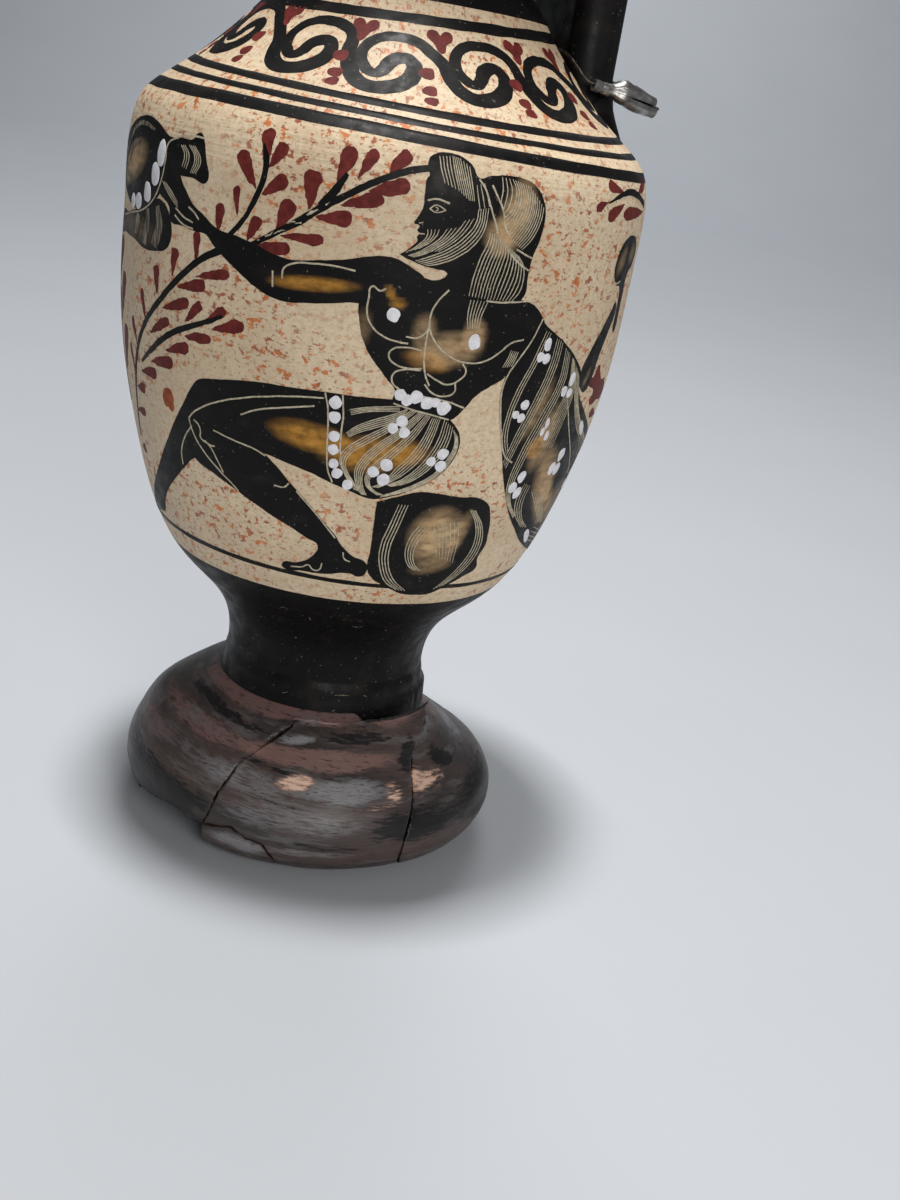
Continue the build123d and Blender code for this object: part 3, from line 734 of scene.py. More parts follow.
LEAVES = [
    ((-43.2, 95.4), (-45.1, 100.8), 1.2), ((-39.6, 101), (-40.3, 105.4), 1.6),
    ((-35.6, 104.6), (-35.2, 109), 1.6), ((-30.3, 107.9), (-30.4, 112.5), 1.4),
    ((-42, 94.2), (-36, 97.5), 1.6), ((-38, 99), (-31.2, 101.4), 1.7),
    ((-34.2, 103.2), (-27.8, 104.8), 1.7), ((-30, 105.7), (-23.3, 107.3), 1.5),
    ((-31.8, 98.2), (-28.4, 101.8), 1.5), ((-32, 95.9), (-26.2, 96.7), 1.6),
    ((-36.8, 92.5), (-30.8, 94.3), 1.7), ((-41.5, 89.6), (-34.8, 90.8), 1.9), ((-46, 87), (-40, 87.8), 1.8),
    ((-49.3, 83.5), (-45.2, 83.9), 1.5), ((-51, 79), (-46.6, 79.6), 1.5),
    ((-53.2, 71.8), (-50.6, 72.2), 1.6), ((-27.9, 98.6), (-23.5, 101.9), 1.5),
    ((-26, 98.2), (-20, 100.2), 1.9), ((-47.3, 91), (-49.3, 95.4), 1.1),
    ((-49.5, 85.8), (-51.3, 90.4), 1.1), ((-18.9, 123.8), (-19.4, 129.5), 1.9),
    ((-18.3, 123.8), (-16.2, 127.8), 1.8), ((-20, 120.6), (-23.4, 125.6), 2.1),
    ((-19, 120), (-15.2, 123), 2.1), ((-22.9, 116.2), (-23.5, 120.5), 1.1),
    ((-26.2, 113.2), (-26.2, 117.4), 1.6), ((-20.8, 112.9), (-19, 116.7), 1.7),
    ((-20.3, 112), (-13.6, 113), 1.9), ((-16.1, 115.2), (-14, 119.9), 2.3),
    ((-11.2, 119.3), (-11.3, 124.9), 2.4), ((-7.4, 123.6), (-6, 128.9), 2.3),
    ((-4.6, 124.7), (-2.5, 129), 1.7), ((-0.5, 125.8), (2.4, 129.6), 1.9), ((-2.8, 123.2), (3, 125), 2.2),
    ((-6.7, 120.6), (-0.6, 122.6), 2.0), ((-10.1, 118.3), (-4.6, 118.9), 2.1),
    ((-15.2, 114.7), (-8.5, 115.1), 1.6), ((45.2, 127.6), (39.9, 128.8), 1.6),
    ((40, 126.2), (36.5, 124.9), 1.4), ((45.6, 125.9), (40.2, 123.7), 1.9),
    ((57, 124.6), (45.6, 124.4), 1.9), ((52, 127.5), (58.5, 129.6), 1.8), ((58, 89), (52.8, 90), 1.7),
    ((-62.5, 99), (-58, 107), 3.4), ((-58.5, 93), (-54.6, 101.5), 2.8), ((-57.5, 84.5), (-53.6, 93), 2.8),
    ((-63, 91), (-60, 98), 2.6)
]
brush("plant_stems", STEMS, belly_sheet, 0.08, black, "black_slip", unsteady=0.12)
PLUME = [
    (49, 99), (51.5, 96.9), (57.1, 95.1), (58.8, 92.8), (54.3, 92.3), (49.6, 92.5), (50.1, 94.2),
    (46.9, 95.7), (45.9, 96.8), (48.3, 97.2)
]
reds = bmesh.new()
for base, tip, width in LEAVES:
    leaf(reds, base, tip, width * 1.2)
fill(reds, PLUME)
even_triangles(reds, LEAF_GRID)
on_vessel("plant_leaves", reds, belly_sheet, 0.05, leaf_red, "cream_slip", unsteady=0.26)
DROP = [
    (-38.2, 85.2), (-37.2, 86), (-35.6, 85.7), (-35.2, 84.2), (-35.5, 82.7), (-37.1, 82.8), (-38.3, 83.7)
]
drop = bmesh.new()
fill(drop, DROP)
grid_cut(drop, 1.0)
on_vessel("orange_drop", drop, belly_sheet, 0.05, orange, "cream_slip", unsteady=0.3)
CHIPS = [
    ([(-11.4, 118.3), (-10.7, 118.9), (-10.0, 119.4)], [0.15, 0.6, 0.2]),
    ([(-14.2, 116.5), (-13.0, 117.2)], [0.06, 0.2]),
    ([(-16.2, 114.8), (-15.3, 115.3), (-14.5, 115.8)], [0.06, 0.22, 0.05]),
    ([(-17.8, 114.2), (-16.9, 114.6), (-16.3, 115.1)], [0.3, 0.16, 0.05]),
    ([(-19.0, 113.3), (-18.5, 113.5)], [0.1, 0.2]), ([(-9.0, 120.2), (-8.3, 120.8)], [0.2, 0.05]),
    ([(-13.0, 116.9), (-12.2, 117.2)], [0.05, 0.14])
]
brush("branch_chips", CHIPS, belly_sheet, 0.10, cut_clay, "cream_slip", film=0.03, unsteady=0.3)

# Lines cut through the black

FINE, LINE = 0.175, 0.27
CUTS = [
    [(1.7, 109.7), (0.8, 109.3), (-0.4, 109.8), (-0.7, 108), (-0.7, 106), (0.2, 104), (2, 102.7),
        (4.3, 102.1), (6.2, 102)],
    [(11.2, 110.8), (9.8, 109), (9, 107), (9.2, 104.6), (10.5, 102.6), (13, 100.8), (16, 100), (19, 100.4),
        (21.5, 102), (23.4, 103.6), (25.6, 104.2)],
    [(9, 106), (8.9, 102), (9.2, 99), (9.7, 97.4), (10.6, 95.8)], [(5.7, 103), (7.6, 103.1), (9, 104.4)],
    [(8.4, 101.2), (6, 101.4), (3.9, 100.8), (3.5, 99.8), (4.5, 98.7), (7, 98.2), (9, 98.4)],
    [(8.8, 98.1), (6, 97.9), (4.6, 97), (4.7, 95.7), (6, 94.7)],
    [(15.4, 99.8), (16.2, 98.5), (15.3, 97.1), (13.5, 96.3), (11.5, 96.9), (9.9, 97.7)],
    [(14.8, 96.6), (14.9, 95.1), (13.5, 94.4), (11.5, 94.6), (9.8, 96)],
    [(9.8, 94), (13.8, 93.6), (17.2, 92.7)], [(5.4, 92.4), (7.6, 91.9), (11, 91.3), (15, 90.6)],
    [(-14.2, 108.5), (-14.2, 110), (-12.8, 111), (-9.5, 111.6), (-6, 111.8), (-3.2, 111.6)],
    [(-15.9, 109.4), (-15.6, 107)],
    [(-32.7, 115.8), (-31.2, 115.1), (-30.2, 114.3)], [(-35.8, 115.1), (-33.7, 114.1), (-31.5, 113.6)],
    [(-35.9, 114), (-33.5, 112.9), (-31.3, 112.7)],
    [(-31.2, 82.6), (-30, 83.8), (-27.5, 85.4), (-25, 86.7), (-20, 88.6), (-15, 90), (-10, 91),
        (-5.6, 91.6)], [(-19.8, 85.9), (-17, 87.3), (-12, 88.8), (-7, 90)],
    [(-30, 82.6), (-28.9, 82), (-28.5, 80.9), (-28.6, 80), (-26.6, 79), (-25, 77), (-23.7, 75)],
    [(-27.6, 79.6), (-26.4, 79.1), (-25.3, 79.2)],
    [(-31.2, 82.6), (-30.5, 80.5), (-28, 77.6), (-25, 75.4), (-22, 73.5), (-20.5, 72.4)],
    [(-30.6, 81.4), (-33, 78.5), (-34.2, 75.8), (-34.2, 73.7)],
    [(-25.5, 81.9), (-20, 81.1), (-17, 80.7), (-15, 80)], [(-10.4, 76.1), (-11.2, 75.3), (-13.2, 75.2)],
    [(-9, 75), (-5, 71.5), (-1, 67.6)],
    [(0.9, 65.1), (1.3, 63.9), (2.6, 63.4)], [(-3, 62.3), (-3.6, 60.8), (-4.8, 60.7), (-5.8, 61.5),
        (-7, 60.9), (-9.6, 60.5)],
    [(-5.5, 92.5), (-4.8, 90), (-4.4, 86), (-4.2, 83), (-3.7, 79.6), (-2.7, 77.7)],
    [(-2.7, 92.6), (-2.2, 89), (-2.2, 86), (-1.7, 82), (-0.6, 79.3), (0.8, 77.8)],
    [(-30.8, 126.2), (-32.9, 126.2), (-37.6, 125.2), (-39.4, 124), (-39.5, 121.9), (-40.4, 118.4),
        (-42.4, 115.4), (-45.8, 113.3), (-51.6, 111.9), (-57, 110.8)],
    [(28.7, 107.6), (27.4, 104.3), (25.4, 101), (23.9, 98.3), (23.5, 95.6), (24.2, 92.3), (25.8, 88.1),
        (27.9, 84.5), (30.1, 83.2)], [(17.5, 109.8), (19.6, 109.7), (21.9, 109.9), (24.7, 110.2)],
    [(39.9, 93.8), (43.8, 88.4), (51.3, 81.3), (55, 78)], [(46.6, 113.6), (48, 113.1), (50, 113.4)],
]
lines = [(p, LINE) for p in CUTS]
HATCHING = [
    (FINE, [(-39.9, 118.5), (-37.7, 116.7), (-35.3, 115.3)], 3,
        [(-38.9, 118.4), (-37, 117.2), (-35.4, 115.9)]),
    (FINE, [(-35.8, 124.5), (-34.7, 123.2), (-35, 121.4)], 3,
        [(-34.9, 124.6), (-33.6, 123.2), (-34, 121.2)]),
    (FINE, [(-33.9, 124.8), (-32.2, 123), (-32.9, 120.8)], 4,
        [(-32.6, 124.8), (-30.9, 122.9), (-31.8, 120.8)]),
    # Kilt folds fan out from the belt in bundles
    (FINE, [(6.5, 92), (3, 91.5), (0.6, 91), (-1.3, 90.4)], 4,
        [(6.7, 91.2), (3, 90.8), (0.5, 90.2), (-1, 89.6)]),
    (FINE, [(8, 91.8), (5.5, 90.5), (2.5, 89.2), (0.2, 87.9), (-1.4, 86.5)], 5,
        [(7.4, 90.6), (5, 88.9), (2.6, 87.8), (0.8, 87), (-0.9, 85.9)]),
    (FINE, [(8.6, 91.7), (5, 88.6), (1, 85.8), (-1.2, 83.8), (-1.9, 82), (-1.2, 80.2), (0, 78.9),
        (1.2, 77)], 4, [(9.3, 91.5), (6, 88.2), (2.2, 85.2), (-0.2, 83.2), (-0.9, 81.4), (-0.3, 79.9),
        (0.8, 78.4), (2, 76.8)]),
    (FINE, [(9.8, 91.4), (6.8, 88), (3.2, 84.6), (1.6, 82.4), (0.9, 80.6), (1.2, 78.6), (2, 77),
        (2.7, 76.3)], 5, [(10.8, 91.2), (8, 87.6), (4.6, 84), (3, 82), (2.3, 80.2), (2.4, 78.4), (3, 77),
        (3.5, 76.3)]),
    (FINE, [(11.1, 91.1), (8.6, 87.3), (5.8, 84), (4, 82), (2.9, 80), (3, 78.4), (4, 77.3), (5.5, 76.5)], 4,
        [(11.8, 90.9), (9.8, 87), (7, 83.5), (5, 81.5), (3.7, 79.6), (3.7, 78.4), (4.8, 77.2),
        (6.6, 76.6)]),
    (FINE, [(12.2, 90.7), (11.4, 87.6), (10, 84.4), (8, 81.8), (6.8, 80), (5.4, 78.5), (4.3, 77.9)], 5,
        [(13.5, 90.6), (13, 87.4), (12, 84.2), (10, 81.4), (8, 79.6), (6.4, 78.5), (5.2, 77.8)]),
    (FINE, [(14.3, 90.5), (14, 87.4), (13, 84.4), (11, 81.4), (9, 79.6), (6.8, 78.5)], 5,
        [(16, 89.4), (15.9, 86.8), (14.7, 83.6), (12.7, 81), (10, 79.1), (7.4, 78.3)]),
    (FINE, [(16.3, 88.9), (17.1, 86.4), (16.5, 84), (14.9, 81.4), (12, 79.2), (9, 77.7), (6.2, 76.5)], 4,
        [(17.2, 88), (17.7, 86), (17.2, 83.6), (15.4, 80.9), (12.6, 78.8), (9, 77.2), (6, 76.2)]),
    # Seat mouldings
    (LINE * 0.8, [(9.7, 75.2), (8.8, 71), (8, 67), (8.8, 63), (10.8, 60), (14, 58.2)], 4,
        [(11.4, 75.2), (10.6, 71), (9.9, 67), (10.5, 63.5), (12.3, 60.7), (16.2, 58)]),
    (FINE, [(14.6, 71.4), (13.4, 69), (13.3, 66), (14.7, 63.6), (16.4, 62.5)], 4,
        [(16.6, 71), (15.2, 68.4), (15, 66), (16.2, 63.6), (17.9, 62.4)]),
    (LINE * 0.8, [(24.3, 74.6), (26.8, 71.6), (28.3, 68), (28, 65), (26.2, 61.6), (23.2, 58.2)], 4,
        [(25.5, 74.4), (28.7, 71), (30.3, 67.5), (29.9, 64), (28, 61.2), (25.2, 59)]),
    (0.16, [(17.4, 72), (18.6, 69), (20.4, 65.4)], 7, [(22.4, 72.4), (23.6, 69.6), (24.8, 64)]),
    # Stripes of the drape
    (FINE, [(30.1, 105.7), (28.4, 100.7), (26.3, 95.3), (25.7, 90.9), (26.2, 87.4), (27.8, 84.5)], 3,
        [(31.2, 105.4), (29.4, 100.5), (27.4, 95.3), (26.7, 90.9), (27.1, 87.8), (28.2, 85.3)]),
    (FINE, [(32.9, 104.6), (32.5, 100), (30.6, 93.6), (28.7, 87.7), (28, 83.2)], 4,
        [(34.5, 103.8), (34.2, 100), (32.4, 93.6), (30.4, 87.7), (29, 82.2)]),
    (FINE, [(35.7, 102.8), (35.8, 97.5), (33.2, 90.7), (31.2, 84), (31.2, 78.2), (32.9, 75.4),
        (36.7, 72.1)], 4, [(37.1, 101.9), (37.4, 97.1), (35.1, 90.3), (33, 83.6), (32.5, 78.2),
        (33.6, 75.6), (37, 72.5)]),
    (0.15, [(38.1, 101.2), (38.9, 96.3), (37.2, 90.9), (36, 85.5)], 7,
        [(39, 100.5), (41.1, 95.5), (40.7, 90.2), (39.8, 85.2)]),
    (FINE, [(39.7, 99.8), (42.6, 93.4), (47.3, 88), (51.5, 85.5), (56, 81.2)], 5,
        [(41.4, 98.1), (44.6, 92.3), (51.9, 86.9), (59.1, 83.5), (64, 80.5)]),
    (FINE, [(35.8, 78.9), (35.2, 75.6), (37, 72.7), (41.4, 69.6)], 4,
        [(37.7, 78.3), (37.6, 75.2), (39.4, 72.1), (44, 69.1)]),
    (FINE, [(39.3, 76.9), (43.8, 73.1), (49.4, 69.2)], 6, [(44.8, 75.3), (48.4, 71.9), (52.8, 68.5)]),
    (FINE, [(47, 66), (52, 64.8), (58, 63)], 4, [(48.4, 68.4), (53, 67), (59.6, 65.2)]),
    (FINE, [(22.6, 99.6), (23.2, 101), (23.6, 102.4)], 5, [(24.2, 99.8), (24.7, 101), (25, 102.2)]),
    # Hair, fillet and beard
    (FINE, [(6.9, 129.6), (7.3, 128), (8.1, 126)], 5, [(8.9, 129.9), (9.3, 128.2), (10.4, 125.2)], 5,
        [(10.1, 129.7), (10.9, 127.3), (12.1, 124.1)], 4, [(11.6, 128.8), (12.3, 126.3), (12.9, 124.1)]),
    (FINE, [(13, 126.4), (13.5, 124.5), (14, 122.9)], 3, [(14.2, 126.8), (14.9, 125), (15.4, 123.6)]),
]
for width, *guides in HATCHING:
    lines += hatch(width, *guides)
HAIR_CUTS = [
    [(13.3, 127.3), (14.4, 126.1), (15.3, 124.3), (16.1, 122.7), (17.1, 120.7), (17.4, 119.9)],
    [(15.5, 126.7), (16.6, 125.1), (17.7, 123.4), (18.6, 120.8), (19.5, 119.8)],
    [(19.4, 117.9), (21.9, 115.9), (24, 114.9)], [(21.1, 117.9), (22.9, 117.2), (24.2, 116.8)]
]
lines += [(p, LINE) for p in HAIR_CUTS]
HAIR_HATCHING = [
    (FINE, [(17, 128), (17.3, 126.2), (17.2, 124.5), (17.6, 123.6)], 4,
        [(18.8, 127.9), (19.6, 126.4), (19.3, 123.8), (18.1, 122.2)], 8,
        [(22, 127.2), (22.5, 125.5), (22.2, 122.6), (20.1, 119)], 7,
        [(24.8, 124.5), (24.6, 122.3), (23.6, 119.8), (22.1, 117.9)]),
    (FINE, [(16.2, 120), (16.1, 118.6), (15.3, 116), (14.7, 113), (14.5, 110.2)], 8,
        [(18.7, 118.8), (19.3, 117.4), (19.1, 115.6), (18.5, 112.8), (18.1, 110)], 8,
        [(21.6, 117), (22.9, 115.4), (23.3, 113.6), (23, 111.6), (21.9, 110)]),
    (FINE, [(14.9, 109.7), (14.8, 107.4), (15.2, 105.2)], 6, [(17.8, 109.7), (17.1, 107.3), (17, 105.4)]),
    (FINE, [(15.3, 123.4), (15.2, 120.4), (14, 117.9), (11.8, 115.9), (8.9, 114.4), (7, 113.9)], 5,
        [(13.8, 123), (13.7, 121.2), (12.6, 119.2), (10.1, 116.8), (7.4, 115.3), (5.4, 114.4)]),
    (0.15, [(13.2, 121.6), (12.2, 119.6), (10.4, 117.6), (8.6, 116.2)], 3,
        [(12.0, 121.2), (11.0, 119.4), (9.4, 117.6), (7.6, 116.1)]),
    (0.15, [(11.4, 120.2), (10.2, 118.5), (8.6, 117.0), (6.6, 115.6), (5.0, 114.9)], 4,
        [(9.4, 119.6), (8.6, 118.2), (7.2, 116.9), (5.8, 115.8), (4.2, 115.0)]),
    (0.15, [(FACE_X + 2.6, NOSE_FOOT - 0.2), (8.0, 118.5), (6.9, 117.2), (5.6, 116.2)], 4,
        [(FACE_X + 0.9, NOSE_FOOT - 0.4), (6.6, 118.4), (5.6, 116.9), (3.8, 115.4)]),
]
for width, *guides in HAIR_HATCHING:
    lines += hatch(width, *guides)
EYE = (7.5, BROW - 0.95)
lines += [
    ([(FACE_X + 0.3, BROW + 0.1), (7.2, BROW + 0.45), (9.2, BROW + 0.1)], LINE),
    ([(EYE[0] - 1.2, EYE[1] - 0.1), (EYE[0] - 0.2, EYE[1] + 0.55), (EYE[0] + 1.3, EYE[1])], FINE),
    ([(EYE[0] - 1.2, EYE[1] - 0.1), (EYE[0] - 0.1, EYE[1] - 0.5), (EYE[0] + 1.3, EYE[1])], FINE),
    ([(EYE[0] - 0.3, EYE[1] + 0.3), (EYE[0] + 0.1, EYE[1]), (EYE[0] - 0.2, EYE[1] - 0.3)], FINE),
    ([(FACE_X - 0.3, LIPS), (FACE_X + 0.6, LIPS + 0.05)], FINE),
    ([(FACE_X - 0.5, NOSE_FOOT + 0.3), (FACE_X + 0.1, NOSE_FOOT + 0.5)], FINE)
]
FOLD_STROKES = [
    ([(-47.8, 112.2), (-48.4, 110.8), (-48.8, 108.9)], [1.4, 1.9, 1.7]),
    ([(-44.3, 113.6), (-44.1, 111), (-45.2, 108)], [1.2, 1.7, 1.8]),
    ([(-41, 114.5), (-40.1, 111.7), (-41.3, 108.2)], [1.2, 1.9, 2.2]),
    ([(-53.3, 116.7), (-58.2, 119.3), (-55.8, 123.1), (-51.9, 125.7), (-47.9, 126.2), (-44.3, 125.7)],
        [0.5, 0.9, 0.9, 0.8, 0.7, 0.4]), ([(-55.5, 119.6), (-53, 122.4), (-49.5, 123.6)], [0.5, 1.0, 0.6])
]
brush("thin_strokes", FOLD_STROKES, belly_sheet, 0.12, thin_stroke, "cream_slip", film=0.03)
brush("cut_lines", lines, belly_sheet, 0.125, cut_clay, "cream_slip", film=0.03, unsteady=0.05)

# White dots

DOTS = [
    ((-3.7, 91.2), 1.02), ((-3.5, 88.8), 1.0), ((-3.3, 85.6), 0.95), ((-3.2, 83.4), 0.92),
    ((-2.9, 81), 0.85), ((-2.1, 79.4), 0.95), ((-0.1, 77.7), 0.95), ((6.3, 93.9), 1.0), ((7.5, 93.1), 0.9),
    ((8.9, 93.8), 1.1), ((10.8, 93), 1.05), ((12.2, 93.2), 0.8), ((13.7, 92.4), 1.15), ((7.3, 89.6), 0.95),
    ((6, 88.3), 0.88), ((8, 87.8), 0.92), ((6.1, 82), 1.1), ((4, 80.6), 1.0), ((6, 79.4), 1.1),
    ((15.4, 84.7), 0.98), ((13.6, 83.3), 0.82), ((15.5, 82.6), 0.98), ((3.3, 106), 1.05),
    ((16.7, 103.3), (1.0, 1.3)), ((31, 103.5), (0.8, 1.05)), ((29.9, 101.5), 0.85), ((31.3, 101.2), 0.9),
    ((29, 93.5), 0.9), ((27.5, 91.8), 0.75), ((28.9, 91.2), 0.82), ((39.6, 97.5), (0.8, 1.2)),
    ((38.1, 95.5), 0.85), ((39.8, 95.1), 0.85), ((36, 90), (0.55, 1.0)), ((35.3, 88.5), (0.55, 0.8)),
    ((36.9, 87.7), (0.6, 0.9)), ((34.1, 80.3), 1.1), ((32.7, 78.4), 1.05), ((34.5, 77.2), 1.1),
    ((45, 83.3), 1.25), ((43.2, 80.9), 1.2), ((45.4, 80.6), 1.2), ((50.2, 87.6), (2.2, 0.75), -38),
    ((46.6, 66.9), (2.6, 0.85), -36), ((58.6, 77.4), 1.0), ((57, 75.6), 1.0), ((59.6, 75), 1.0),
    ((-40.9, 122.6), (1.3, 2.0)), ((-42.3, 119.2), (1.35, 1.95)), ((-44.7, 116.1), (1.35, 1.6)),
    ((-48.3, 114.2), (1.5, 1.3)), ((-51, 113.8), (1.1, 1.2))
]
dots = bmesh.new()
for centre, *dab in DOTS:
    spot(dots, centre, *dab)
on_vessel("white_dots", dots, belly_sheet, 0.12, white, "cream_slip", film=0, unsteady=0.0)

# A trailing branch round the back

TRAIL_KNOTS = 19
trail = [(77 + 7.2 * k, 94 + 15 * sin(k * 0.8)) for k in range(TRAIL_KNOTS)]
trail_widths = [0.5] + [1.0] * (TRAIL_KNOTS - 2) + [0.4]
brush("back_stem", [(trail, trail_widths)], belly_sheet, 0.045, black, "black_slip", unsteady=0.12)
reds = bmesh.new()
for k, (before, at, after) in enumerate(zip(trail, trail[1:], trail[2:])):
    ahead = (Vector(after) - Vector(before)).normalized()
    aside = Vector((-ahead.y, ahead.x))
    for side, reach in ((1, 6.2), (-1, 5.4)):
        for step in (0.0, 0.5):
            base = Vector(at).lerp(Vector(after), step) + aside * side * 0.8
            splay = 0.9 + 0.2 * noise.noise(Vector((k * 1.7, side, step)))
            way = (ahead * 0.75 + aside * side * splay).normalized()
            length = reach + 1.4 * noise.noise(Vector((k * 2.3, side * 3.0, step * 9)))
            leaf(reds, base, base + way * length, 2.2)
even_triangles(reds, LEAF_GRID)
on_vessel("back_leaves", reds, belly_sheet, 0.05, leaf_red, "cream_slip", unsteady=0.16)

# The foot: burnished clay, broken and worn, with painted sheen, highlights and shade in its colour

SKIN_GRAIN = 0.45            # face size of the worn skin
CRACK_REACH = 1.8            # how far a sherd looks for its neighbour
SINK = {"foot": 9.0, "foot_right_sherd": 2.4}
# Copper patches where the burnish is rubbed through; they also stand for painted highlights on the foot
RUBBED_AND_HIGHLIGHT = [
    (-2.0, 18.6, 4.2, 1.2, 6, 1.0), (18.5, 17.4, 2.2, 1.6, 0, 0.75), (28, 17.6, 5.0, 1.9, 4, 0.95),
    (35, 17.0, 4.0, 1.2, 4, 0.7), (14.5, 15.6, 5.0, 0.6, 0, 0.5), (98, 17, 9, 1.8, 0, 0.8),
    (-80, 16, 8, 1.4, 0, 0.7)
]
MAUVE = [
    (-30, 21.8, 22, 1.7, 0, 0.6), (4, 21.8, 17, 1.4, 0, 1.0), (-10, 27.0, 46, 0.8, 0, 1.0),
    (28, 26.8, 14, 0.9, 0, 1.0), (-44, 17.6, 14, 1.8, 2, 0.5), (80, 22, 24, 1.8, 0, 0.8),
    (-90, 21, 20, 1.8, 0, 0.8)
]
# Grey patches on the foot: grey brushed paint, partly a painted sheen on the upper front, and a painted
# highlight under the flake's ridge
ASH_AND_SHEEN = [
    (8, 17.8, 9, 1.8, 0, 0.9), (-11, 17.4, 9, 2.2, -4, 0.55), (-2, 12.8, 15, 2.4, 0, 0.5),
    (-11.5, 6.2, 5.5, 1.6, -4, 0.75), (2, 6.8, 9, 1.0, 0, 0.5), (-3.5, 24.4, 4.5, 0.7, 8, 0.95),
    (-24, 18, 8, 1.6, -6, 0.4), (-26, 23.8, 5, 0.5, 0, 0.35), (70, 18, 20, 2, 0, 0.4),
    (-85, 18, 16, 2, 0, 0.4)
]
# Dark patches on the foot: soot and dark paint, with painted shade along the lower edge and in the right
# crack
SOOT_AND_SHADE = [
    (-34, 11.4, 16, 2.8, 0, 1.0), (-40, 7.6, 22, 2.0, 0, 0.9), (-28, 24.9, 20, 0.7, -2, 0.8),
    (12, 24.9, 10, 0.8, 0, 0.75), (42, 18.8, 4.2, 1.5, -10, 1.0), (-50, 15.4, 9, 2.2, 0, 0.5),
    (22, 11.6, 9, 3.0, 0, 0.85), (48, 11, 16, 4, 0, 0.8), (25.5, 22.0, 4.0, 1.8, 20, 0.9),
    (-8, 19.9, 9, 0.4, -2, 0.6), (-5, 15.4, 8, 0.35, -6, 0.6), (-2, 11.2, 9, 0.6, -4, 0.4),
    (5, 8.6, 9, 0.7, -4, 0.5), (0, 3.4, 30, 1.0, 0, 0.5), (100, 12, 26, 3, 0, 0.8),
    (-95, 10, 24, 3, 0, 0.9), (60, 23, 9, 1.2, 0, 0.7)
]
RIDGE = [(-12.6, 22.2), (-10.6, 24.0), (-8.4, 25.2), (-6.0, 25.9), (-2.0, 26.3), (2.4, 26.4)]


def flake_depth(u, z):
    """A flake of the burnished skin has come off below a ridge near the top of the foot."""
    for (u0, z0), (u1, z1) in zip(RIDGE, RIDGE[1:]):
        if u0 <= u < u1:
            below = z0 + (z1 - z0) * (u - u0) / (u1 - u0) - z
            ends = min(1.0, (u - RIDGE[0][0]) / 2, (RIDGE[-1][0] - u) / 2)
            if 0 <= below < 3.2:
                return 0.38 * (1 - below / 3.2) * ends
            if -1.0 < below < 0:
                return -0.16 * (1 + below) * ends
    return 0.0


def foot_blank(name):
    """A foot piece as an even skin of small faces."""
    bm = merged_copy(name)
    mesh = bpy.data.meshes.new("sherd")
    bm.to_mesh(mesh)
    bm.free()
    block = bpy.data.objects.new("sherd", mesh)
    even = block.modifiers.new("even", "REMESH")
    even.mode = "VOXEL"
    even.voxel_size = SKIN_GRAIN * MM
    bm = bmesh.new()
    bm.from_mesh(finished_mesh(block))
    bm.normal_update()
    return bm


def nearest_sherd(place, others):
    """The closest point on a neighbouring piece, and its distance in millimetres."""
    found = [tree.find_nearest(place, CRACK_REACH * MM) for tree in others]
    met = [(point, gap / MM) for point, _, _, gap in found if point is not None]
    return min(met, key=lambda pair: pair[1]) if met else (place, 9.0)


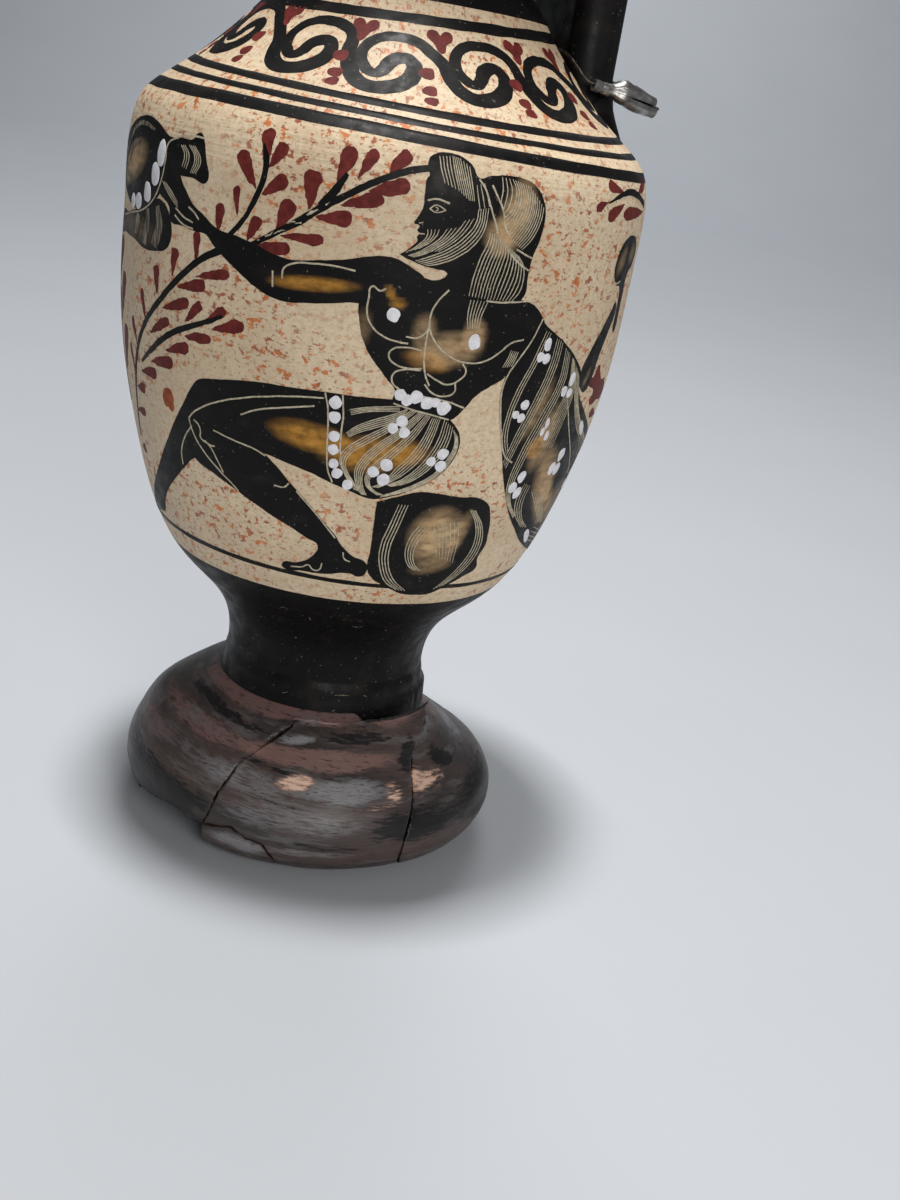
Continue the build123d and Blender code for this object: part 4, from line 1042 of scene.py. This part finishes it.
foot_trees = {name: wall_tree(name) for name in FOOT_PIECES}
for name in FOOT_PIECES:
    bm = foot_blank(name)
    others = [tree for other, tree in foot_trees.items() if other != name]
    traits = {key: bm.verts.layers.float.new(key) for key in ("raw", "soot_and_shade", "mauve", "ash_and_sheen", "rubbed_and_highlight")}
    moves = []
    for v in bm.verts:
        mm = v.co / MM
        u = FOOT_GIRTH * turn_of(mm)
        facing, gap = nearest_sherd(v.co, others)
        near = max(0.0, 1 - gap / 1.4)
        splinter = max(0.0, noise.noise(mm * 0.55) + 0.12)

        # The right crack gapes, and cracks close towards the rim
        right = clamp((u - 12) / 4)
        gaping = right * clamp(min((mm.z - 10) / 3, (24 - mm.z) / 3))
        tight = clamp((mm.z - 18) / 1.5) * (1 - gaping)
        wide = 0.10 + 0.2 * soft((mm.z - 13) / 3) + 0.6 * splinter
        chip = near ** 2 * (gaping * wide + (1 - gaping) * (1 - tight) * 0.3 * splinter)
        shut = (facing - v.co) * (0.62 * tight * clamp((1.1 - gap) / 0.5))

        # Lumps, the lost flake, a fuller back left, and a rim drawn in towards the stem
        lumps = (0.13 * noise.noise(mm * 0.10) + 0.04 * noise.noise(mm * 0.45)) * (1 - near)
        flake = flake_depth(u, mm.z) if v.normal.z > 0.1 else 0.0
        full = 1.7 * soft(1 - abs(u + 54) / 34) * soft(1 - abs(mm.z - 20.5) / 6.5)
        outward = Vector((mm.x, mm.y, 0)).normalized()
        bulge = outward * 0.7 + Vector((0, 0, 0.7))
        inward, start = (-2.4, 18) if name == "foot_right_sherd" else (-1.15, 22)
        rim = soft((25.4 - mm.xy.length) / 4.2)
        narrow = outward * (inward * rim * soft((mm.z - start) / 2.5))
        narrow.z = 1.8 * rim * soft((u - 5) / 9) if name == "foot_front_sherd" else 0.0
        level = bulge * (0.3 * tight * near)

        # The right back has sunk
        low = Vector((0, 0, -SINK.get(name, 0.0)))
        sunk = low * soft((u - 12) / 18) * soft((110 - u) / 34) * soft((mm.z - 9) / 18)
        moves.append((v.normal * (lumps - chip - flake) + bulge * full + narrow + level + sunk) * MM + shut)

        drift = 0.5 * noise.noise(Vector((u * 0.10, mm.z * 0.3, 5)))
        # painted shade darkens the right sherd beside its crack
        crack_shade = right * clamp(min((0.7 - gap) / 0.2, (mm.z - 8) / 4))
        v[traits["raw"]] = (1 - tight) * (1 - right) * clamp((0.34 - gap) / 0.16)
        v[traits["soot_and_shade"]] = max(patch_strength(u, mm.z + drift, SOOT_AND_SHADE), crack_shade)
        v[traits["mauve"]] = patch_strength(u, mm.z + drift, MAUVE)
        v[traits["ash_and_sheen"]] = patch_strength(u, mm.z + drift, ASH_AND_SHEEN)
        v[traits["rubbed_and_highlight"]] = patch_strength(u, mm.z + drift * 0.3, RUBBED_AND_HIGHLIGHT)
    for v, move in zip(bm.verts, moves):
        v.co += move
    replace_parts(keep("worn_" + name, bm, clay), name)

# The lead seal: a strip folded over the wire, crimped at its neck and split at its free end

SEAL_SLOPE = radians(-9.5)
SEAL_ROOT = Vector((28.4, -13.3, 143.5))
SEAL_ALONG = Vector((cos(SEAL_SLOPE), 0, sin(SEAL_SLOPE)))
SEAL_UP = Vector((-sin(SEAL_SLOPE), 0, cos(SEAL_SLOPE)))
SEAL_ACROSS = Vector((0, 1, 0))
SEAL_BORE = 0.5
FLAP_WIDE = [(2.0, 0.85), (3.2, 0.95), (6.0, 1.78), (9.0, 1.6), (13.0, 1.2)]
FLAP_SPLIT = [(2.0, 0.02), (6.5, 0.03), (8.0, 0.16), (13.0, 0.24)]
UPPER_FLAP = [(2.0, 0.85), (3.2, 1.1), (5.6, 2.5), (7.6, 2.25), (12.3, 1.6)]
LOWER_FLAP = [(2.0, 0.8), (3.4, 0.9), (6.2, 1.6), (9.5, 1.95), (12.9, 1.8)]


def on_seal(along, across, up):
    where = Vector((along, across, up))
    lump = 0.07 * noise.noise(where * 0.9) + 0.03 * noise.noise(where * 2.5)
    middle = SEAL_ROOT + SEAL_ALONG * (1.0 + along)
    return (middle + SEAL_ACROSS * across * (1 + lump) + SEAL_UP * up * (1 + lump)) * MM


def swell(along, stations):
    for (s0, w0), (s1, w1) in zip(stations, stations[1:]):
        if along <= s1:
            t = max(0.0, (along - s0) / (s1 - s0))
            return w0 + (w1 - w0) * (3 * t * t - 2 * t ** 3)
    return stations[-1][1]


def join(whole, part):
    bmesh.ops.recalc_face_normals(part, faces=part.faces)
    mesh = bpy.data.meshes.new("part")
    part.to_mesh(mesh)
    part.free()
    whole.from_mesh(mesh)


seal = bmesh.new()
for side, tall in ((1, UPPER_FLAP), (-1, LOWER_FLAP)):
    end = tall[-1][0]
    flap = bmesh.new()
    bmesh.ops.create_cube(flap, size=1.0)
    bmesh.ops.subdivide_edges(flap, edges=flap.edges, cuts=15, use_grid_fill=True)
    for v in flap.verts:
        along = 2.0 + (end - 2.0) * (v.co.x + 0.5)
        half = swell(along, FLAP_WIDE)
        y = 2 * v.co.y
        top = swell(along, tall) * (1 - 0.5 * abs(y) ** 3)
        round_wire = max(0.0, SEAL_BORE ** 2 - (y * half) ** 2) ** 0.5
        split = max(swell(along, FLAP_SPLIT), round_wire)
        v.co = on_seal(along, y * half, side * (split + (top - split) * (v.co.z + 0.5)))
    join(seal, flap)
collar, bore = sleeve(40, 2, 11)
for v in collar.verts:
    along = 1.6 * (v.co.z + 1)
    turn = atan2(v.co.y, v.co.x)
    crimp = 0.10 * (1 if 1.25 < along < 1.75 else 0)
    wide = SEAL_BORE if v in bore else 1.0 - crimp + 0.06 * sin(turn * 3)
    flat, tall = (1.0, 1.0) if v in bore else (0.95, 1.05)
    v.co = on_seal(along, wide * cos(turn) * flat, wide * sin(turn) * tall)
join(seal, collar)
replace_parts(keep("folded_seal", seal, lead, "seal"), "lead_seal")

# The wire: from the seal up to the inner side of the handle, round it, and back behind the seal

WIRE_TAIL = [SEAL_ROOT + SEAL_ALONG * reach for reach in (14.6, 7, 1.2)]
WIRE_TAIL.append(SEAL_ROOT + Vector((-0.3, 0.3, 0.3)))
WIRE_RING = [
    (26.9, -11.2, 145.5), (26.15, -9.6, 146.8), (25.95, -6.5, 147.8), (25.9, 0, 148.3), (25.95, 7, 148.0),
    (26.4, 14.4, 147.2), (31.5, 15.4, 146.2), (36.5, 14.6, 145.2), (37.1, 0, 144.4), (36.4, -10.4, 143.7),
    (33, -10.45, 143.3), (30.2, -11.6, 143.4), (29.3, -12.6, 143.9), (28.7, -13.0, 144.3),
]
WIRE = WIRE_TAIL + WIRE_RING
line = bpy.data.curves.new("wire", "CURVE")
line.dimensions = "3D"
line.bevel_depth = 0.29
line.bevel_resolution = 5
line.resolution_u = 10
line.use_fill_caps = True
run = line.splines.new("BEZIER")
run.bezier_points.add(len(WIRE) - 1)
for knot, place in zip(run.bezier_points, WIRE):
    knot.co = place
    knot.handle_left_type = knot.handle_right_type = "AUTO"
bm = bmesh.new()
draw_into(bm, line)
bmesh.ops.remove_doubles(bm, verts=bm.verts, dist=1e-5)
bmesh.ops.scale(bm, vec=(MM, MM, MM), verts=bm.verts)
bmesh.ops.recalc_face_normals(bm, faces=bm.faces)
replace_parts(keep("looped_wire", bm, wire, "wire"), "seal_wire")

# The stem, and thick slip that ends in a broken step on it

def stem_radius(z):
    return 19.0 + 0.5 * soft((33.8 - z) / 3.4) + 0.42 * soft((30.4 - z) / 2.8)


def stem_sheet(u, v, lift):
    r = stem_radius(v) + lift * soft((33.4 - v) / 1.6)
    angle = FRONT + u / STEM_GIRTH
    return Vector((r * cos(angle), r * sin(angle), v)) * MM


STEM_RINGS = (29.2, 30.6, 32.2)
STEM_FOOT = 28.4             # below this the stem reaches down inside the foot's rim
STEM_CORE = 18.4
bm = merged_copy("stem")
for height in STEM_RINGS:
    cut_level(bm, (0, 0, height * MM), (0, 0, 1))
for v in bm.verts:
    r = v.co.xy.length / MM
    if r > STEM_CORE:
        v.co.xy *= stem_radius(v.co.z / MM) / r
    turn = turn_of(v.co)
    v.co.xy *= 1 + 0.065 * soft(1 - abs(turn - 1.55) / 0.9) * soft((30.4 - v.co.z / MM) / 3.5)
    if v.co.z < STEM_FOOT * MM:
        front = 0.7 * soft(turn / 0.35) * soft((2 - turn) / 0.5)
        low = max(soft(1 - abs(turn - 1.85) / 1.1), front)
        v.co.z -= 7.5 * MM * low
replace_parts(keep("straight_stem", bm, black), "stem")
STEP = [
    (-9, 33.4), (-7, 29.7), (-5, 30.4), (-2, 30.5), (0, 30.8), (4, 30.9), (6.2, 31.2), (9, 31.1, 1),
    (10.2, 30.4), (13.5, 28.9), (17, 29.6), (20, 30.5), (22, 33.4), (12, 33.5), (2, 33.5)
]
step = bmesh.new()
fill(step, STEP)
grid_cut(step, 0.8)
on_vessel("slip_step", step, stem_sheet, 0.3, black, "black_slip", film=0.4, unsteady=0.3)

# Pale marks on the stem: a chip and scuffs, and painted glints along the lower edge of the slip's step
STEM_SCUFFS_AND_GLINTS = [
    ([(3.0, 31.1), (4.4, 31.25), (5.8, 31.2)], [0.06, 0.16, 0.06]), ([(8.6, 31.2), (9.4, 30.9)], 0.13),
    ([(2.9, 28.0), (3.3, 28.4)], 0.32), ([(-6.8, 29.9), (-5.8, 30.3)], 0.1)
]
BASE_SCUFFS = [
    ([(-15, 49.2), (-13.4, 49.9), (-12, 49.5)], [0.05, 0.16, 0.05]), ([(-6, 48.4), (-5.6, 47.7)], 0.2),
    ([(7.5, 47.4), (9.4, 47.2), (11, 47.5)], [0.06, 0.18, 0.06]), ([(8.6, 49.2), (9.6, 49.3)], 0.12),
    ([(1.5, 43.2), (2.2, 43.0)], 0.14), ([(-20, 45.5), (-19.2, 46.1)], 0.12)
]
brush("stem_scuffs_and_glints", STEM_SCUFFS_AND_GLINTS, stem_sheet, 0.34, thin_stroke, "cream_slip", film=0.04)
brush("base_scuffs", BASE_SCUFFS, belly_sheet, 0.075, thin_stroke, "cream_slip", film=0.03)

# The handle's root: clay pressed out over the shoulder

handle_tree = wall_tree("handle")
ROOT_X, ROOT_CUT = 31.5, 146.0
bm, inside = sleeve(72, 1, 9)
centre = Vector((ROOT_X, 0, ROOT_CUT))
for v in bm.verts:
    turn = atan2(v.co.y, v.co.x)
    way = Vector((cos(turn), sin(turn), 0))
    edge = handle_tree.ray_cast((centre + way * 20) * MM, -way)[0] / MM
    climb = v.co.z + 0.5
    spread = soft((edge.x - 28) / 7)
    out = -1.0 if v in inside else -0.2 + (0.2 + 4.6 * spread) * (1 - climb) ** 1.5
    foot = edge + way * out
    ground = SHOULDER_EDGE
    while ground < 150 and wall_radius(ground) > foot.xy.length:
        ground += 0.1
    v.co = Vector((foot.x, foot.y, ground - 0.15 + climb * (0.6 + 6.6 * spread))) * MM
bmesh.ops.recalc_face_normals(bm, faces=bm.faces)
keep("handle_root", bm, black)

# The strap broadens on its far side down to the root

bm = merged_copy("handle")
for v in bm.verts:
    mm = v.co / MM
    lower = soft((195 - mm.z) / 27)
    broad = lower * soft(mm.y / 10)
    inner = 0.35 * lower * soft((ROOT_X - mm.x) / 4) * soft((mm.z - 149) / 3)
    v.co += Vector((-inner, 4.0 * broad, -1.3 * broad * soft((150 - mm.z) / 4))) * MM
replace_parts(keep("broad_handle", bm, black), "handle")

# Floor, light and camera

TURN, TIP, ROLL = radians(-25.04), radians(90 - 19.92), radians(9.62)
SWEEP_START, SWEEP_RADIUS = 1.7, 0.9
bm = bmesh.new()
bmesh.ops.create_grid(bm, x_segments=2, y_segments=80, size=1)
for v in bm.verts:
    reach = 3.2 * v.co.y + 0.7
    over = max(0.0, reach - SWEEP_START)
    bend = min(over / SWEEP_RADIUS, pi / 2)
    upright = max(0.0, over - SWEEP_RADIUS * pi / 2)
    v.co = (
        v.co.x * 4, min(reach, SWEEP_START) + SWEEP_RADIUS * sin(bend),
        SWEEP_RADIUS * (1 - cos(bend)) + upright
    )
bmesh.ops.rotate(bm, verts=bm.verts, cent=(0, 0, 0), matrix=Matrix.Rotation(TURN, 3, "Z"))
for f in bm.faces:
    f.smooth = True
floor = bpy.data.objects.new("floor", bpy.data.meshes.new("floor"))
bm.to_mesh(floor.data)
bm.free()
scene.collection.objects.link(floor)
pale, tree, shader = finish("pale_floor", 0.5, specular=0.3)
clouds = mottle(tree, places(tree), 0.01, 3.0)
coat(tree, shader, mixed(tree, clouds, (0.42, 0.438, 0.468), (0.45, 0.468, 0.498)))
floor.data.materials.append(pale)

world = bpy.data.worlds.new("studio")
scene.world = world
world.use_nodes = True
sky = world.node_tree.nodes["Background"]
sky.inputs[0].default_value = (0.80, 0.84, 0.88, 1)
sky.inputs[1].default_value = 0.16


def lamp(name, place, size, power, colour=(1, 1, 1), toward=(0, 0, 0.1)):
    light = bpy.data.lights.new(name, "AREA")
    light.size = size
    light.energy = power
    light.color = colour
    obj = bpy.data.objects.new(name, light)
    scene.collection.objects.link(obj)
    obj.location = place
    obj.rotation_euler = (Vector(toward) - Vector(place)).to_track_quat("-Z", "Y").to_euler()


lamp("top", (-0.06, -0.01, 1.25), 0.15, 15.5, (1.0, 0.99, 0.97))
lamp("key", (-0.06, -0.90, 0.42), 0.40, 4.9, (1.0, 0.98, 0.95))
lamp("side", (0.75, -0.25, 0.38), 0.40, 0.3, (0.98, 0.99, 1.0))
lamp("far", (0.75, 1.6, 1.5), 1.0, 16.0, (0.97, 0.99, 1.0), toward=(0.75, 1.6, 0))

CAMERA_REACH, CAMERA_HEIGHT = 0.2593, 0.1401
camera = bpy.data.objects.new("camera", bpy.data.cameras.new("camera"))
camera.data.lens = 42.43
camera.data.clip_start = 0.01
stand = Matrix.Translation((CAMERA_REACH * cos(FRONT), CAMERA_REACH * sin(FRONT), CAMERA_HEIGHT))
aim = Matrix.Rotation(TURN, 4, "Z") @ Matrix.Rotation(TIP, 4, "X") @ Matrix.Rotation(ROLL, 4, "Z")
camera.matrix_world = stand @ aim
scene.collection.objects.link(camera)
scene.camera = camera
scene.view_settings.view_transform = "Standard"
